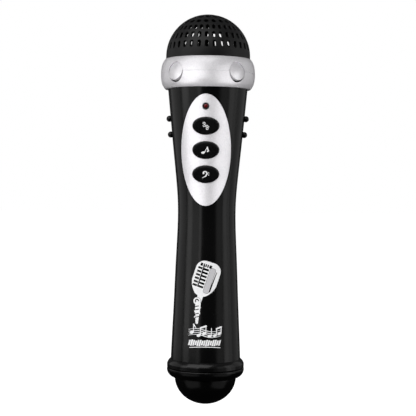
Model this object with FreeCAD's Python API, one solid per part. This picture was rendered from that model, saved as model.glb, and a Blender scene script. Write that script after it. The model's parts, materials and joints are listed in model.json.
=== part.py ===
"""A hand-held toy microphone: a hollow waisted handle with a perforated dome on top and a round cap below.

The handle is two half shells, front and back, screwed together from behind. A silver collar holds their
top ends and a black ring their bottom ends. The front shell carries an oval silver panel with three sprung
push-buttons and a lamp, over a rubber keypad and a circuit board that lean with the panel. The head holds
a loudspeaker that faces up into the dome. Two cells lie in a tray behind a door in the back shell.

Frame: millimetres, +Z up along the handle's axis, -Y to the front. The origin is the bottom of the end cap.
"""
import FreeCAD
import Part
import math
import os

V = FreeCAD.Vector
X_AXIS = V(1, 0, 0)
Y_AXIS = V(0, 1, 0)
Z_AXIS = V(0, 0, 1)
ORIGIN = V(0, 0, 0)

# ---- driving dimensions -------------------------------------------------------------------------------
LENGTH = 195.0                 # overall, end cap to dome
WALL = 1.8                     # handle shells
SEAM = 0.05                    # half of the gap between the two shells
SLIP = 0.2                     # loose clearance between mating parts

# Handle outline, radius against height, from the end ring's shoulder up to the collar.
SHOULDER_Z = 157.6
FOOT_Z = 22.9
HANDLE_OUTLINE = [
    (17.45, FOOT_Z), (16.25, 50.0), (15.1, 77.0), (14.55, 101.0),
    (15.35, 112.0), (17.0, 128.0), (18.75, 146.0), (19.85, SHOULDER_Z),
]

# Neck: the shells' top ends, inside the collar.
NECK_R = 19.0
NECK_BORE_R = 17.2
SEAT_Z = 168.2                 # ledge that carries the loudspeaker
NECK_TOP_Z = 170.2
NECK_LIP_R = 18.2              # bore above the ledge

# Spigot: the shells' bottom ends, inside the end ring.
SPIGOT_R = 16.2
SPIGOT_BORE_R = 14.6
SPIGOT_Z = 18.0

# Dome.
DOME_R = 21.0
DOME_WALL = 1.5
DOME_Z = LENGTH - DOME_R       # centre of its sphere
SKIRT_R = 20.35
SKIRT_BORE_R = 19.15
SKIRT_Z = 168.0
HOLE_ROWS = [                  # elevation in degrees, number of slots, slot width, slot height
    (12.5, 34, 1.6, 3.3), (25.8, 34, 1.6, 3.1), (38.9, 34, 1.6, 2.9),
    (51.9, 22, 2.2, 2.9), (64.9, 16, 2.3, 2.9), (77.6, 8, 2.1, 2.8),
]
ROW_STAGGER = [0.5, 0.1, 1.2, -2.0, 2.0, 10.0]   # turn of each row, in degrees
CROWN_HOLE_R = 1.2
SLOT_FLARE = 0.22              # depth of the 45 degree flare at each slot's mouth

# Collar.
COLLAR_TOP_Z = 172.5
COLLAR_BOTTOM_Z = 157.7
COLLAR_OUTLINE = [
    (21.35, COLLAR_BOTTOM_Z), (22.9, 160.3), (23.46, 163.2), (23.42, 167.0), (22.93, 169.7), (21.4, COLLAR_TOP_Z),
]
COLLAR_R = 23.5
COLLAR_CAVITY_R = 21.4
COLLAR_LIP = 1.8               # height of the lips above and below its hollow
PARTING_Z = 165.2              # moulding line round the collar's widest place
PARTING_DEPTH = 0.14
STUD_AZIMUTHS = [49.5, 130.5, 229.5, 310.5]
STUD_CENTRE = V(23.05, 0, 165.3)   # middle of a stud's rim, before it is turned to its azimuth
STUD_TILT = 15.0                   # how far the studs look up, in degrees
STUD_HEAD_R = 4.45
STUD_RISE = 1.15                   # of the domed face above its rim
STUD_HEAD_DEPTH = 1.6
STUD_SHANK_R = 2.2
STUD_HOLE_R = 4.8
STUD_HOLE_DROP = 0.3               # of the hole under the head's centre

# Panel and controls, in the panel's own leaning frame: its origin is PANEL_POINT on the handle's front,
# local -Y points out of the panel and local +Z up along it.
PANEL_Z = 127.0
PANEL_POINT = V(0, -16.9, PANEL_Z)
PANEL_LEAN = 5.85              # degrees
PANEL_HALF = (12.2, 27.4)      # half width and half height
PANEL_PROUD = 0.7
PANEL_DEPTH = 0.95             # how far it sinks into the shell
PANEL_GAP = 0.3
PANEL_EDGE_ROUND = 0.3
PANEL_PINS = [(-9.3, -6.0), (9.3, -6.0), (-9.3, 6.0), (9.3, 6.0)]
PIN_R = 0.9

BUTTON_PITCH = 11.8
BUTTONS = {"upper": BUTTON_PITCH, "middle": 0.0, "lower": -BUTTON_PITCH}
CAP_HALF = (6.35, 4.1)
CAP_FACE_HALF = (5.8, 3.55)
CAP_FACE_STEP = 0.35
CAP_FRONT = -1.65              # local Y of the cap's band
FLANGE_HALF = (7.2, 5.0)
FLANGE_Y = 4.2
FLANGE_THICK = 1.0
TUBE_HALF = (7.6, 5.25)
TRAVEL = 1.1

LAMP_Z = 21.3
LAMP_R = 1.5
LAMP_TIP_Y = -0.75
LAMP_LENGTH = 5.3
LAMP_FLANGE_R = 1.9

BOARD_FRONT_Y = 8.6
BOARD_THICK = 1.2
BOARD_HALF_WIDTH = 9.5
BOARD_Z = (-21.5, 22.6)
BOARD_SCREWS = [(0.0, -19.2), (-6.3, 19.5), (6.3, 19.5)]
WEB_HALF_HEIGHT = 17.0
WEB_THICK = 1.0
DOME_SPRING_TOP_Y = 5.25

# Screws that close the handle, from the back, on the centre line.
BODY_SCREW_Z = [29.0, 102.2, 153.9]
SCREW_R = 1.3
SCREW_HEAD_R = 2.6
SCREW_HEAD = 1.8
BOSS_R = 2.9
SCREW_FIT = 0.03
SCREW_SEAT_Y = 7.0             # where the heads sit in the back shell's wells
WELL_R = 3.1

# Side studs, held in the seam between the shells.
GRIP_STUDS_Z = [135.1, 143.0]
GRIP_BALL_R = 1.55
GRIP_BALL_OUT = 0.65           # ball centre outside the handle's surface
GRIP_SHANK_R = 0.9

# Cells and their tray.
CELL_R = 5.25
CELL_LENGTH = 44.5
CELL_X = 5.45
CELL_Y = 3.2
TRAY_Z = (36.8, 88.8)
TRAY_HALF_WIDTH = 12.0
TRAY_WALL = 1.1
TRAY_FRONT_Y = CELL_Y - CELL_R - 0.2 - TRAY_WALL
RIBS_Z = [46.0, 62.5, 79.0]    # ribs of the front shell that the tray stands on
RIB_HALF_WIDTH = 7.0
CONTACT_THICK = 0.4
CONTACT_LOW_Z = 38.2
CONTACT_HIGH_Z = 86.8

# Door in the back shell.
DOOR_HALF_WIDTH = 10.2
DOOR_Z = (35.0, 96.0)
DOOR_CORNER = 4.0
DOOR_THICK = 1.6
DOOR_SCREW_Z = 90.2

# End ring and end cap.
RING_R = 19.3
RING_Z = (18.6, FOOT_Z)
CAP_FLANGE_R = 19.35
CAP_FLANGE_Z = (13.7, 18.4)
END_DOME_R = 15.4
END_DOME_HEIGHT = 13.8
END_WALL = 1.8


# ---- small helpers ------------------------------------------------------------------------------------
def line(a, b):
    """Straight edge between two (radius, height) points."""
    return Part.LineSegment(V(a[0], 0, a[1]), V(b[0], 0, b[1])).toShape()


def arc(a, m, b):
    """Arc edge through three (radius, height) points."""
    return Part.Arc(V(a[0], 0, a[1]), V(m[0], 0, m[1]), V(b[0], 0, b[1])).toShape()


def curve(points):
    """Smooth edge through (radius, height) points."""
    spline = Part.BSplineCurve()
    spline.interpolate([V(r, 0, z) for r, z in points])
    return spline.toShape()


def polyline(points):
    return [line(a, b) for a, b in zip(points, points[1:])]


def turned(edges, angle=360):
    """Solid of revolution about Z of a closed outline in the XZ plane."""
    return Part.Face(Part.Wire(edges)).revolve(ORIGIN, Z_AXIS, angle)


def tube(r_in, r_out, z_low, z_high):
    outer = Part.makeCylinder(r_out, z_high - z_low, V(0, 0, z_low))
    return outer.cut(Part.makeCylinder(r_in, z_high - z_low + 2, V(0, 0, z_low - 1)))


def rod(r, start, end):
    """Cylinder between two points."""
    return Part.makeCylinder(r, (end - start).Length, start, end - start)


def block(low, high):
    return Part.makeBox(high[0] - low[0], high[1] - low[1], high[2] - low[2], V(*low))


def oval_prism(half_width, half_height, y_low, y_high, z=0.0, x=0.0):
    """Elliptic prism along local Y."""
    wide = half_width >= half_height
    major, minor = max(half_width, half_height), min(half_width, half_height)
    ellipse = Part.Ellipse(ORIGIN, major, minor)
    face = Part.Face(Part.Wire([ellipse.toShape()]))
    if not wide:
        face.rotate(ORIGIN, Z_AXIS, 90)
    face.rotate(ORIGIN, X_AXIS, 90)
    face.translate(V(x, y_low, z))
    return face.extrude(V(0, y_high - y_low, 0))


def rounded_prism(half_width, z_low, z_high, corner, y_low, y_high):
    """Rounded rectangle in XZ, extruded along Y."""
    box = block((-half_width, y_low, z_low), (half_width, y_high, z_high))
    return box.makeFillet(corner, [e for e in box.Edges if abs(e.tangentAt(e.FirstParameter).y) > 0.9])


def on_panel(shape):
    """Carries a shape from the panel's leaning frame into the handle's frame."""
    moved = shape.copy()
    moved.rotate(ORIGIN, X_AXIS, PANEL_LEAN)
    moved.translate(PANEL_POINT)
    return moved


def handle_solid(grow=0.0):
    """The handle's outer form, grown outwards by grow."""
    points = [(r + grow, z) for r, z in HANDLE_OUTLINE]
    foot, top = points[0], points[-1]
    return turned([curve(points), line(top, (0, top[1])), line((0, top[1]), (0, foot[1])), line((0, foot[1]), foot)])


def handle_radius(z):
    """Outer radius of the handle at height z."""
    spline = Part.BSplineCurve()
    spline.interpolate([V(r, 0, h) for r, h in HANDLE_OUTLINE])
    cut = spline.toShape().common(Part.makeBox(40, 2, 0.02, V(0, -1, z - 0.01)))
    return cut.Edges[0].Vertexes[0].X


def swept(points, bend, radius):
    """Round wire along straight runs joined by tangent arcs of radius bend."""
    edges = []
    start = points[0]
    for before, corner, after in zip(points, points[1:], points[2:]):
        into, out = (corner - before).normalize(), (after - corner).normalize()
        half = math.acos(max(-1.0, min(1.0, into.dot(out)))) / 2
        back = bend * math.tan(half)
        a, b = corner - into * back, corner + out * back
        middle = corner + (out - into).normalize() * (bend / math.cos(half) - bend)
        edges += [Part.LineSegment(start, a).toShape(), Part.Arc(a, middle, b).toShape()]
        start = b
    edges.append(Part.LineSegment(start, points[-1]).toShape())
    profile = Part.Wire([Part.Circle(points[0], points[1] - points[0], radius).toShape()])
    return Part.Wire(edges).makePipeShell([profile], True, False)


def coil_spring(x, y, z_low, z_high, r_low, r_high, wire_r, turns):
    """Conical compression spring along Z, wound from tangent arcs round a rising polygon."""
    sides = 8
    count = sides * turns
    to_corner = 1 / math.cos(math.pi / sides)
    points = []
    for i in range(count + 1):
        share = i / count
        r = (r_low + (r_high - r_low) * share) * to_corner
        turn = 2 * math.pi * i / sides
        z = z_low + wire_r + (z_high - z_low - 2 * wire_r) * share
        points.append(V(x + r * math.cos(turn), y + r * math.sin(turn), z))
    return swept(points, 0.9 * min(r_low, r_high), wire_r)


def cross_slot(depth, width, span):
    """Cutter for a cross recess, centred on the origin and opening towards +Y."""
    one = block((-span, -depth, -width / 2), (span, 1, width / 2))
    other = block((-width / 2, -depth, -span), (width / 2, 1, span))
    return one.fuse(other)


def back_screw(z, seat_y, length):
    """Pan-head screw along Y whose head sits at seat_y and faces the back."""
    head = rod(SCREW_HEAD_R, V(0, seat_y, z), V(0, seat_y + SCREW_HEAD, z))
    head = head.makeFillet(0.6, [e for e in head.Edges if abs(e.BoundBox.YMin - seat_y - SCREW_HEAD) < 1e-6
                                 and abs(e.BoundBox.YMax - e.BoundBox.YMin) < 1e-6])
    shank = rod(SCREW_R, V(0, seat_y, z), V(0, seat_y - length + 1.5, z))
    tip = Part.makeCone(SCREW_R, 0.4, 1.5, V(0, seat_y - length + 1.5, z), V(0, -1, 0))
    slot = cross_slot(1.1, 0.7, 1.5)
    slot.translate(V(0, seat_y + SCREW_HEAD, z))
    return head.fuse([shank, tip]).removeSplitter().cut(slot)


# ---- head ---------------------------------------------------------------------------------------------
def slot_cutter(elevation, width, height):
    """Round-ended slot through the dome's wall, long way up the meridian, with a flared mouth."""
    r, straight = width / 2, (height - width) / 2
    low, high = DOME_R - DOME_WALL - 1.2, DOME_R + 1.0
    lip = DOME_R - SLOT_FLARE
    wide = r + high - lip
    ends = [V(0, 0, -straight), V(0, 0, straight)]
    holes = [Part.makeCylinder(r, high - low, V(low, 0, 0) + end, X_AXIS) for end in ends]
    flares = [Part.makeCone(r, wide, high - lip, V(lip, 0, 0) + end, X_AXIS) for end in ends]
    corners = [V(lip, -r, -straight), V(high, -wide, -straight), V(high, wide, -straight), V(lip, r, -straight)]
    mouth = Part.Face(Part.makePolygon(corners + corners[:1])).extrude(V(0, 0, 2 * straight))
    cutter = block((low, -r, -straight), (high, r, straight)).fuse(holes + flares + [mouth]).removeSplitter()
    cutter.rotate(ORIGIN, Y_AXIS, -elevation)
    cutter.rotate(ORIGIN, Z_AXIS, -90)
    cutter.translate(V(0, 0, DOME_Z))
    return cutter


def grille_dome():
    inner_r = DOME_R - DOME_WALL
    bottom = COLLAR_TOP_Z + SEAM
    edge_break = 0.2
    half = math.sqrt(0.5)
    edges = polyline([
        (inner_r, DOME_Z), (inner_r, DOME_Z - 1.0), (SKIRT_BORE_R, DOME_Z - 1.6), (SKIRT_BORE_R, SKIRT_Z),
        (SKIRT_R, SKIRT_Z), (SKIRT_R, bottom), (DOME_R - edge_break, bottom), (DOME_R, bottom + edge_break),
        (DOME_R, DOME_Z),
    ])
    edges += [
        arc((DOME_R, DOME_Z), (DOME_R * half, DOME_Z + DOME_R * half), (0, DOME_Z + DOME_R)),
        line((0, DOME_Z + DOME_R), (0, DOME_Z + inner_r)),
        arc((0, DOME_Z + inner_r), (inner_r * half, DOME_Z + inner_r * half), (inner_r, DOME_Z)),
    ]
    dome = turned(edges)
    cutters = [Part.makeCylinder(CROWN_HOLE_R, 6, V(0, 0, LENGTH - 4))]
    for (elevation, count, width, height), turn in zip(HOLE_ROWS, ROW_STAGGER):
        slot = slot_cutter(elevation, width, height)
        cutters += [slot.rotated(ORIGIN, Z_AXIS, turn + 360 * i / count) for i in range(count)]
    return dome.cut(Part.makeCompound(cutters))


def collar_ring():
    low, high = COLLAR_OUTLINE[0], COLLAR_OUTLINE[-1]
    bore_low, bore_high = NECK_R + SLIP, SKIRT_R + 0.1
    cavity_low, cavity_high = COLLAR_BOTTOM_Z + COLLAR_LIP, COLLAR_TOP_Z - COLLAR_LIP
    edges = [curve(COLLAR_OUTLINE)] + polyline([
        high, (bore_high, high[1]), (bore_high, cavity_high), (COLLAR_CAVITY_R, cavity_high),
        (COLLAR_CAVITY_R, cavity_low), (bore_low, cavity_low), (bore_low, low[1]), low,
    ])
    ring = turned(edges)
    line_cut = [(COLLAR_R + 1, PARTING_Z - 1), (COLLAR_R - PARTING_DEPTH, PARTING_Z), (COLLAR_R + 1, PARTING_Z + 1)]
    ring = ring.cut(turned(polyline(line_cut + line_cut[:1])))
    hole = rod(STUD_HOLE_R, V(-3.4, 0, -STUD_HOLE_DROP), V(6, 0, -STUD_HOLE_DROP))
    hollow = Part.makeCylinder(SKIRT_R + 0.25, 30, V(0, 0, COLLAR_BOTTOM_Z))
    return ring.cut([on_collar(hole, azimuth).cut(hollow) for azimuth in STUD_AZIMUTHS])


def on_collar(shape, azimuth):
    """Carries a shape from a stud's own frame, where +X is its axis, to its place in the collar."""
    moved = shape.copy()
    moved.rotate(ORIGIN, Y_AXIS, -STUD_TILT)
    moved.translate(STUD_CENTRE)
    moved.rotate(ORIGIN, Z_AXIS, azimuth)
    return moved


def collar_studs():
    """Four domed studs that look up and out through the collar, standing on the shells' neck."""
    ball_r = (STUD_HEAD_R ** 2 + STUD_RISE ** 2) / (2 * STUD_RISE)
    head = rod(STUD_HEAD_R, V(-STUD_HEAD_DEPTH, 0, 0), V(STUD_RISE + 1, 0, 0))
    head = head.common(Part.makeSphere(ball_r, V(STUD_RISE - ball_r, 0, 0)))
    shank = rod(STUD_SHANK_R, V(-6, 0, 0), V(-0.5, 0, 0))
    clear_of_skirt = Part.makeCylinder(SKIRT_R + 0.4, 30, V(0, 0, COLLAR_BOTTOM_Z))
    clear_of_neck = Part.makeCylinder(NECK_R + 0.02, 30, V(0, 0, COLLAR_BOTTOM_Z))
    studs = []
    for azimuth in STUD_AZIMUTHS:
        placed = on_collar(head, azimuth).cut(clear_of_skirt)
        studs.append(placed.fuse(on_collar(shank, azimuth).cut(clear_of_neck)).removeSplitter())
    return Part.makeCompound(studs)


# ---- loudspeaker --------------------------------------------------------------------------------------
SPEAKER_R = 18.0
PAN_R = 9.6
PAN_Z = 162.4
PAN_WALL = 0.6
MAGNET_R = 8.6
MAGNET_BORE_R = 4.8
YOKE_Z = 157.9
YOKE_THICK = 1.0
POLE_R = 3.6
COIL_R = (3.95, 4.3)
CONE_EDGE_R = 14.4
CONE_EDGE_Z = 168.3
CONE_WALL = 0.35
SURROUND_R = 16.4


def speaker_basket():
    """Pressed pan with a flat rim, open to the magnet in the middle."""
    outline = [
        (SPEAKER_R, SEAT_Z + PAN_WALL), (SPEAKER_R, SEAT_Z), (16.0, SEAT_Z), (PAN_R, PAN_Z), (MAGNET_BORE_R, PAN_Z),
        (MAGNET_BORE_R, PAN_Z + PAN_WALL), (PAN_R - 0.1, PAN_Z + PAN_WALL), (15.7, SEAT_Z + PAN_WALL),
        (SPEAKER_R, SEAT_Z + PAN_WALL),
    ]
    basket = turned(polyline(outline))
    for i in range(4):
        window = oval_prism(3.2, 1.6, 6, 20, 0)
        window.rotate(ORIGIN, X_AXIS, 40)
        window.translate(V(0, 1.5, 160.8 - 5.5))
        window.rotate(ORIGIN, Z_AXIS, 45 + 90 * i)
        basket = basket.cut(window)
    return basket


def speaker_magnet():
    return tube(MAGNET_BORE_R, MAGNET_R, YOKE_Z + YOKE_THICK, PAN_Z)


def speaker_yoke():
    plate = Part.makeCylinder(MAGNET_R - 0.4, YOKE_THICK, V(0, 0, YOKE_Z))
    pole = Part.makeCylinder(POLE_R, PAN_Z + 0.4 - YOKE_Z, V(0, 0, YOKE_Z))
    return plate.fuse(pole).removeSplitter()


def voice_coil():
    return tube(COIL_R[0], COIL_R[1], YOKE_Z + YOKE_THICK + 0.8, PAN_Z + 2.0)


def speaker_cone():
    low, high = (COIL_R[1] + 0.02, PAN_Z + 1.6), (CONE_EDGE_R, CONE_EDGE_Z)
    mid = (8.6, PAN_Z + 3.6)
    lift = CONE_WALL
    return turned([
        arc(low, mid, high), line(high, (high[0], high[1] + lift)),
        arc((high[0], high[1] + lift), (mid[0], mid[1] + lift), (low[0], low[1] + lift)), line((low[0], low[1] + lift), low),
    ])


def speaker_surround():
    """Half-roll between the cone's edge and the basket's rim."""
    r0, r1, z = CONE_EDGE_R + 0.05, SURROUND_R, SEAT_Z + PAN_WALL + 0.02
    mid, w = (r0 + r1) / 2, CONE_WALL
    return turned([
        arc((r0, z), (mid, z + 0.9), (r1, z)), line((r1, z), (r1 + 0.9, z)), line((r1 + 0.9, z), (r1 + 0.9, z + w)),
        line((r1 + 0.9, z + w), (r1, z + w)), arc((r1, z + w), (mid, z + 0.9 + w), (r0, z + w)), line((r0, z + w), (r0, z)),
    ])


def dust_cap():
    """Shallow dome over the coil."""
    r, rise, z = 5.0, 1.6, PAN_Z + 2.5
    ball_r = (r ** 2 + rise ** 2) / (2 * rise)
    centre = V(0, 0, z + rise - ball_r)
    shell = Part.makeSphere(ball_r, centre).cut(Part.makeSphere(ball_r - CONE_WALL, centre))
    return shell.common(Part.makeCylinder(r + 1, rise + 1, V(0, 0, z)))


def speaker_clamp_ring():
    low = SEAT_Z + PAN_WALL + CONE_WALL + 0.05
    return tube(16.6, NECK_LIP_R - 0.05, low, NECK_TOP_Z)


TERMINAL_Y = 12.6              # where the leads are soldered
TERMINAL_Z = (PAN_Z - 1.0, PAN_Z)
WIRE_R = 0.6
SPEAKER_WIRE_X = 6.4


def speaker_terminal_strip():
    """Small board under the basket that the loudspeaker's two leads are soldered to."""
    return block((-8.0, MAGNET_R + 0.3, TERMINAL_Z[0]), (8.0, TERMINAL_Y + 1.4, TERMINAL_Z[1]))


# ---- handle shells ------------------------------------------------------------------------------------
def shell_blank():
    """Both shells in one: handle wall, neck and spigot."""
    wall = handle_solid().cut(handle_solid(-WALL))
    inner_top = HANDLE_OUTLINE[-1][0] - WALL
    neck = tube(NECK_BORE_R, NECK_R, SHOULDER_Z - 1.6, SEAT_Z).fuse(tube(NECK_LIP_R, NECK_R, SEAT_Z, NECK_TOP_Z))
    shelf = tube(NECK_BORE_R, inner_top + 0.6, SHOULDER_Z - 1.6, SHOULDER_Z)
    spigot = tube(SPIGOT_BORE_R, SPIGOT_R, SPIGOT_Z, FOOT_Z + 1.4)
    lip = tube(SPIGOT_BORE_R - 0.9, SPIGOT_BORE_R + 0.2, FOOT_Z - 1.3, FOOT_Z)
    return wall.fuse([neck, shelf, spigot, lip]).removeSplitter()


def grip_holes():
    """Cutters for the side studs' shanks, which cross the seam."""
    cutters = []
    for z in GRIP_STUDS_Z:
        r = handle_radius(z)
        for side in (-1, 1):
            cutters.append(rod(GRIP_SHANK_R + SCREW_FIT, V(side * (r - 3), 0, z), V(side * (r + 3), 0, z)))
    return cutters


def front_bosses():
    """Bosses inside the front shell for the screws that close the handle."""
    return [rod(BOSS_R, V(0, -22, z), V(0, -0.4, z)) for z in BODY_SCREW_Z]


def front_shell():
    inside = handle_solid(-WALL / 2)
    half_space = block((-40, -40, -5), (40, -SEAM, 200))
    shell = shell_blank().common(half_space)

    # Tubes that guide the buttons and the lamp, bosses for the board, all square to the panel.
    fittings = [oval_prism(*TUBE_HALF, -4, FLANGE_Y - 0.1, z) for z in BUTTONS.values()]
    fittings.append(rod(2.5, V(0, -4, LAMP_Z), V(0, LAMP_TIP_Y + LAMP_LENGTH - 1.05, LAMP_Z)))
    fittings += [rod(1.9, V(x, -4, z), V(x, BOARD_FRONT_Y, z)) for x, z in BOARD_SCREWS]
    fittings = [on_panel(f).common(inside) for f in fittings]
    bosses = [b.common(inside) for b in front_bosses()]
    ribs = [block((-RIB_HALF_WIDTH, -22, z), (RIB_HALF_WIDTH, TRAY_FRONT_Y - 0.02, z + 1.4)) for z in RIBS_Z]
    shell = shell.fuse(fittings + bosses + [r.common(inside) for r in ribs])

    # Recess for the panel, and everything that passes through its floor.
    w, h = PANEL_HALF[0] + PANEL_GAP, PANEL_HALF[1] + PANEL_GAP
    recess = on_panel(oval_prism(w, h, -6, 9)).cut(handle_solid(-PANEL_DEPTH - 0.05))
    holes = [oval_prism(CAP_HALF[0] + SLIP, CAP_HALF[1] + SLIP, -8, 12, z) for z in BUTTONS.values()]
    holes.append(rod(LAMP_R + 0.06, V(0, -8, LAMP_Z), V(0, 12, LAMP_Z)))
    holes += [rod(PIN_R + 0.05, V(x, -8, z), V(x, 9, z)) for x, z in PANEL_PINS]
    holes += [rod(0.8 + SCREW_FIT, V(x, 4.4, z), V(x, 12, z)) for x, z in BOARD_SCREWS]
    pilots = [rod(SCREW_R + SCREW_FIT, V(0, -8.5, z), V(0, 2, z)) for z in BODY_SCREW_Z]
    return shell.cut([recess] + [on_panel(h) for h in holes] + pilots + grip_holes())


def door_prism(grow, y_low=0.0, y_high=30.0):
    return rounded_prism(DOOR_HALF_WIDTH + grow, DOOR_Z[0] - grow, DOOR_Z[1] + grow, DOOR_CORNER + grow, y_low, y_high)


PRONG_X = 5.5                  # prongs of the door that enter slots in the tray's end wall
PRONG_Y = 7.3
PRONG_HALF_WIDTH = 1.5
DOOR_SEAT_Y = 10.6             # seat of the door screw's head
DOOR_BOSS_Y = 7.6              # back face of the post that the door screw enters


def back_shell():
    half_space = block((-40, SEAM, -5), (40, 40, 200))
    inside = handle_solid(-WALL / 2)
    shell = shell_blank().common(half_space)
    wells = [rod(WELL_R + 1.2, V(0, SCREW_SEAT_Y - 1.6, z), V(0, 30, z)) for z in BODY_SCREW_Z]
    posts = [rod(BOSS_R, V(0, SEAM, z), V(0, SCREW_SEAT_Y, z)) for z in BODY_SCREW_Z]
    ledge = handle_solid(-WALL + 0.1).cut(handle_solid(-DOOR_THICK - 1.5)).common(door_prism(1.4))
    shell = shell.fuse([w.common(inside) for w in wells] + posts + [ledge])
    opening = door_prism(SLIP).cut(handle_solid(-DOOR_THICK - 0.05)).fuse(door_prism(-1.5))
    cutters = [opening] + grip_holes()
    for z in BODY_SCREW_Z:
        cutters.append(rod(WELL_R, V(0, SCREW_SEAT_Y, z), V(0, 30, z)))
        cutters.append(rod(SCREW_R + SLIP, V(0, -2, z), V(0, SCREW_SEAT_Y + 1, z)))
    return shell.cut(cutters)


def battery_door():
    inside = handle_solid(-DOOR_THICK / 2)
    skin = handle_solid().cut(handle_solid(-DOOR_THICK)).common(door_prism(0))
    well = rod(WELL_R + 0.9, V(0, DOOR_SEAT_Y - 1.2, DOOR_SCREW_Z), V(0, 30, DOOR_SCREW_Z)).common(inside)
    low = V(-PRONG_HALF_WIDTH, PRONG_Y, TRAY_Z[0] + 0.05)
    prong = block(low, (PRONG_HALF_WIDTH, 15.0, TRAY_Z[0] + TRAY_WALL - 0.05))
    prongs = [prong.translated(V(x, 0, 0)).common(inside) for x in (-PRONG_X, PRONG_X)]
    door = skin.fuse([well] + prongs)
    head_well = rod(WELL_R, V(0, DOOR_SEAT_Y, DOOR_SCREW_Z), V(0, 30, DOOR_SCREW_Z))
    hole = rod(SCREW_R + 0.1, V(0, 0, DOOR_SCREW_Z), V(0, DOOR_SEAT_Y + 1, DOOR_SCREW_Z))
    grips = []
    for i in range(5):
        z = DOOR_Z[0] + 8 + 1.8 * i
        rib = block((-5.2 + 0.5 * i, 12, z), (5.2 - 0.5 * i, 22, z + 0.9)).cut(handle_solid(-0.5))
        grips.append(rib)
    return door.cut([head_well, hole] + grips)


# ---- panel, buttons, lamp -----------------------------------------------------------------------------
def panel_bezel():
    skin = handle_solid(PANEL_PROUD).cut(handle_solid(-PANEL_DEPTH))
    bezel = skin.common(on_panel(oval_prism(*PANEL_HALF, -6, 9)))
    front_edge = [e for e in bezel.Edges if e.Length > 60]
    outer = max(front_edge, key=lambda e: -e.CenterOfMass.y)
    bezel = bezel.makeFillet(PANEL_EDGE_ROUND, [outer])
    bezel = bezel.fuse([on_panel(rod(PIN_R, V(x, 3.2, z), V(x, 6.4, z))) for x, z in PANEL_PINS])
    dish = Part.makeCone(2.3, 1.2, 1.4, V(0, -1.0, LAMP_Z), Y_AXIS)
    holes = [oval_prism(CAP_HALF[0] + 0.3, CAP_HALF[1] + 0.3, -8, 5, z) for z in BUTTONS.values()]
    holes += [rod(LAMP_R + 0.1, V(0, -8, LAMP_Z), V(0, 8, LAMP_Z)), dish]
    return bezel.cut([on_panel(h) for h in holes])


def button(z):
    """Oval push-button: raised face, band, and a flange that keeps it in its tube."""
    band = oval_prism(*CAP_HALF, CAP_FRONT, FLANGE_Y + 0.1, z)
    band = band.makeFillet(0.35, [e for e in band.Edges if abs(e.BoundBox.YMax - CAP_FRONT) < 1e-4])
    face = oval_prism(*CAP_FACE_HALF, CAP_FRONT - CAP_FACE_STEP, FLANGE_Y, z)
    face = face.makeFillet(0.12, [e for e in face.Edges if abs(e.BoundBox.YMax - CAP_FRONT + CAP_FACE_STEP) < 1e-4])
    flange = oval_prism(*FLANGE_HALF, FLANGE_Y, FLANGE_Y + FLANGE_THICK, z)
    return on_panel(band.fuse([face, flange]).removeSplitter())


def contact_pill(z):
    """Carbon disc under the rubber dome, carried in with the button."""
    return on_panel(rod(1.6, V(0, DOME_SPRING_TOP_Y + 1.1, z), V(0, BOARD_FRONT_Y - TRAVEL - 0.05, z)))


def dome_spring(z):
    """Rubber dome that returns a button: a coned skirt with a flat top."""
    top, base = DOME_SPRING_TOP_Y, BOARD_FRONT_Y - WEB_THICK
    outer = Part.makeCone(3.9, 2.4, base - top, V(0, base, z), V(0, -1, 0))
    inner = Part.makeCone(3.3, 2.0, base - top - 1.05, V(0, base, z), V(0, -1, 0))
    return on_panel(outer.cut(inner))


def keypad_web():
    """Silicone sheet on the board, with an opening under each dome."""
    low, high = -WEB_HALF_HEIGHT, WEB_HALF_HEIGHT
    sheet = rounded_prism(8.9, low, high, 2.5, BOARD_FRONT_Y - WEB_THICK, BOARD_FRONT_Y)
    return on_panel(sheet.cut([rod(3.3, V(0, 0, z), V(0, 12, z)) for z in BUTTONS.values()]))


def lamp():
    """Round lamp with a domed tip and a flange."""
    base = LAMP_TIP_Y + LAMP_LENGTH
    body = rod(LAMP_R, V(0, LAMP_TIP_Y + LAMP_R, LAMP_Z), V(0, base, LAMP_Z))
    tip = Part.makeSphere(LAMP_R, V(0, LAMP_TIP_Y + LAMP_R, LAMP_Z))
    flange = rod(LAMP_FLANGE_R, V(0, base - 1.0, LAMP_Z), V(0, base, LAMP_Z))
    return on_panel(body.fuse([tip, flange]).removeSplitter())


def lamp_leads():
    base = LAMP_TIP_Y + LAMP_LENGTH
    ends = BOARD_FRONT_Y + BOARD_THICK + 0.8
    return Part.makeCompound([on_panel(rod(0.25, V(x, base, LAMP_Z), V(x, ends, LAMP_Z))) for x in (-1.0, 1.0)])


# ---- circuit board ------------------------------------------------------------------------------------
BOARD_BACK_Y = BOARD_FRONT_Y + BOARD_THICK


def circuit_board():
    board = rounded_prism(BOARD_HALF_WIDTH, BOARD_Z[0], BOARD_Z[1], 1.0, BOARD_FRONT_Y, BOARD_BACK_Y)
    holes = [rod(1.1, V(x, 0, z), V(x, 12, z)) for x, z in BOARD_SCREWS]
    holes += [rod(0.3, V(x, 0, LAMP_Z), V(x, 12, LAMP_Z)) for x in (-1.0, 1.0)]
    return on_panel(board.cut(holes))


def sound_chip():
    """Resin blob over the bare sound chip, on the back of the board."""
    ball_r = 9.0
    cap = Part.makeSphere(ball_r, V(0, BOARD_BACK_Y - ball_r + 1.6, 0))
    return on_panel(cap.common(rod(6, V(0, BOARD_BACK_Y, 0), V(0, BOARD_BACK_Y + 3, 0))))


def resistors():
    """Chip resistors on the back of the board."""
    chips = []
    for x, z in [(-6.8, 10.5), (-4.2, 10.5), (6.8, 10.5), (6.8, -9.5), (-6.8, -9.5)]:
        low = (x - 0.6, BOARD_BACK_Y, z - 1.0)
        chips.append(on_panel(block(low, (x + 0.6, BOARD_BACK_Y + 0.5, z + 1.0))))
    return Part.makeCompound(chips)


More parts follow.
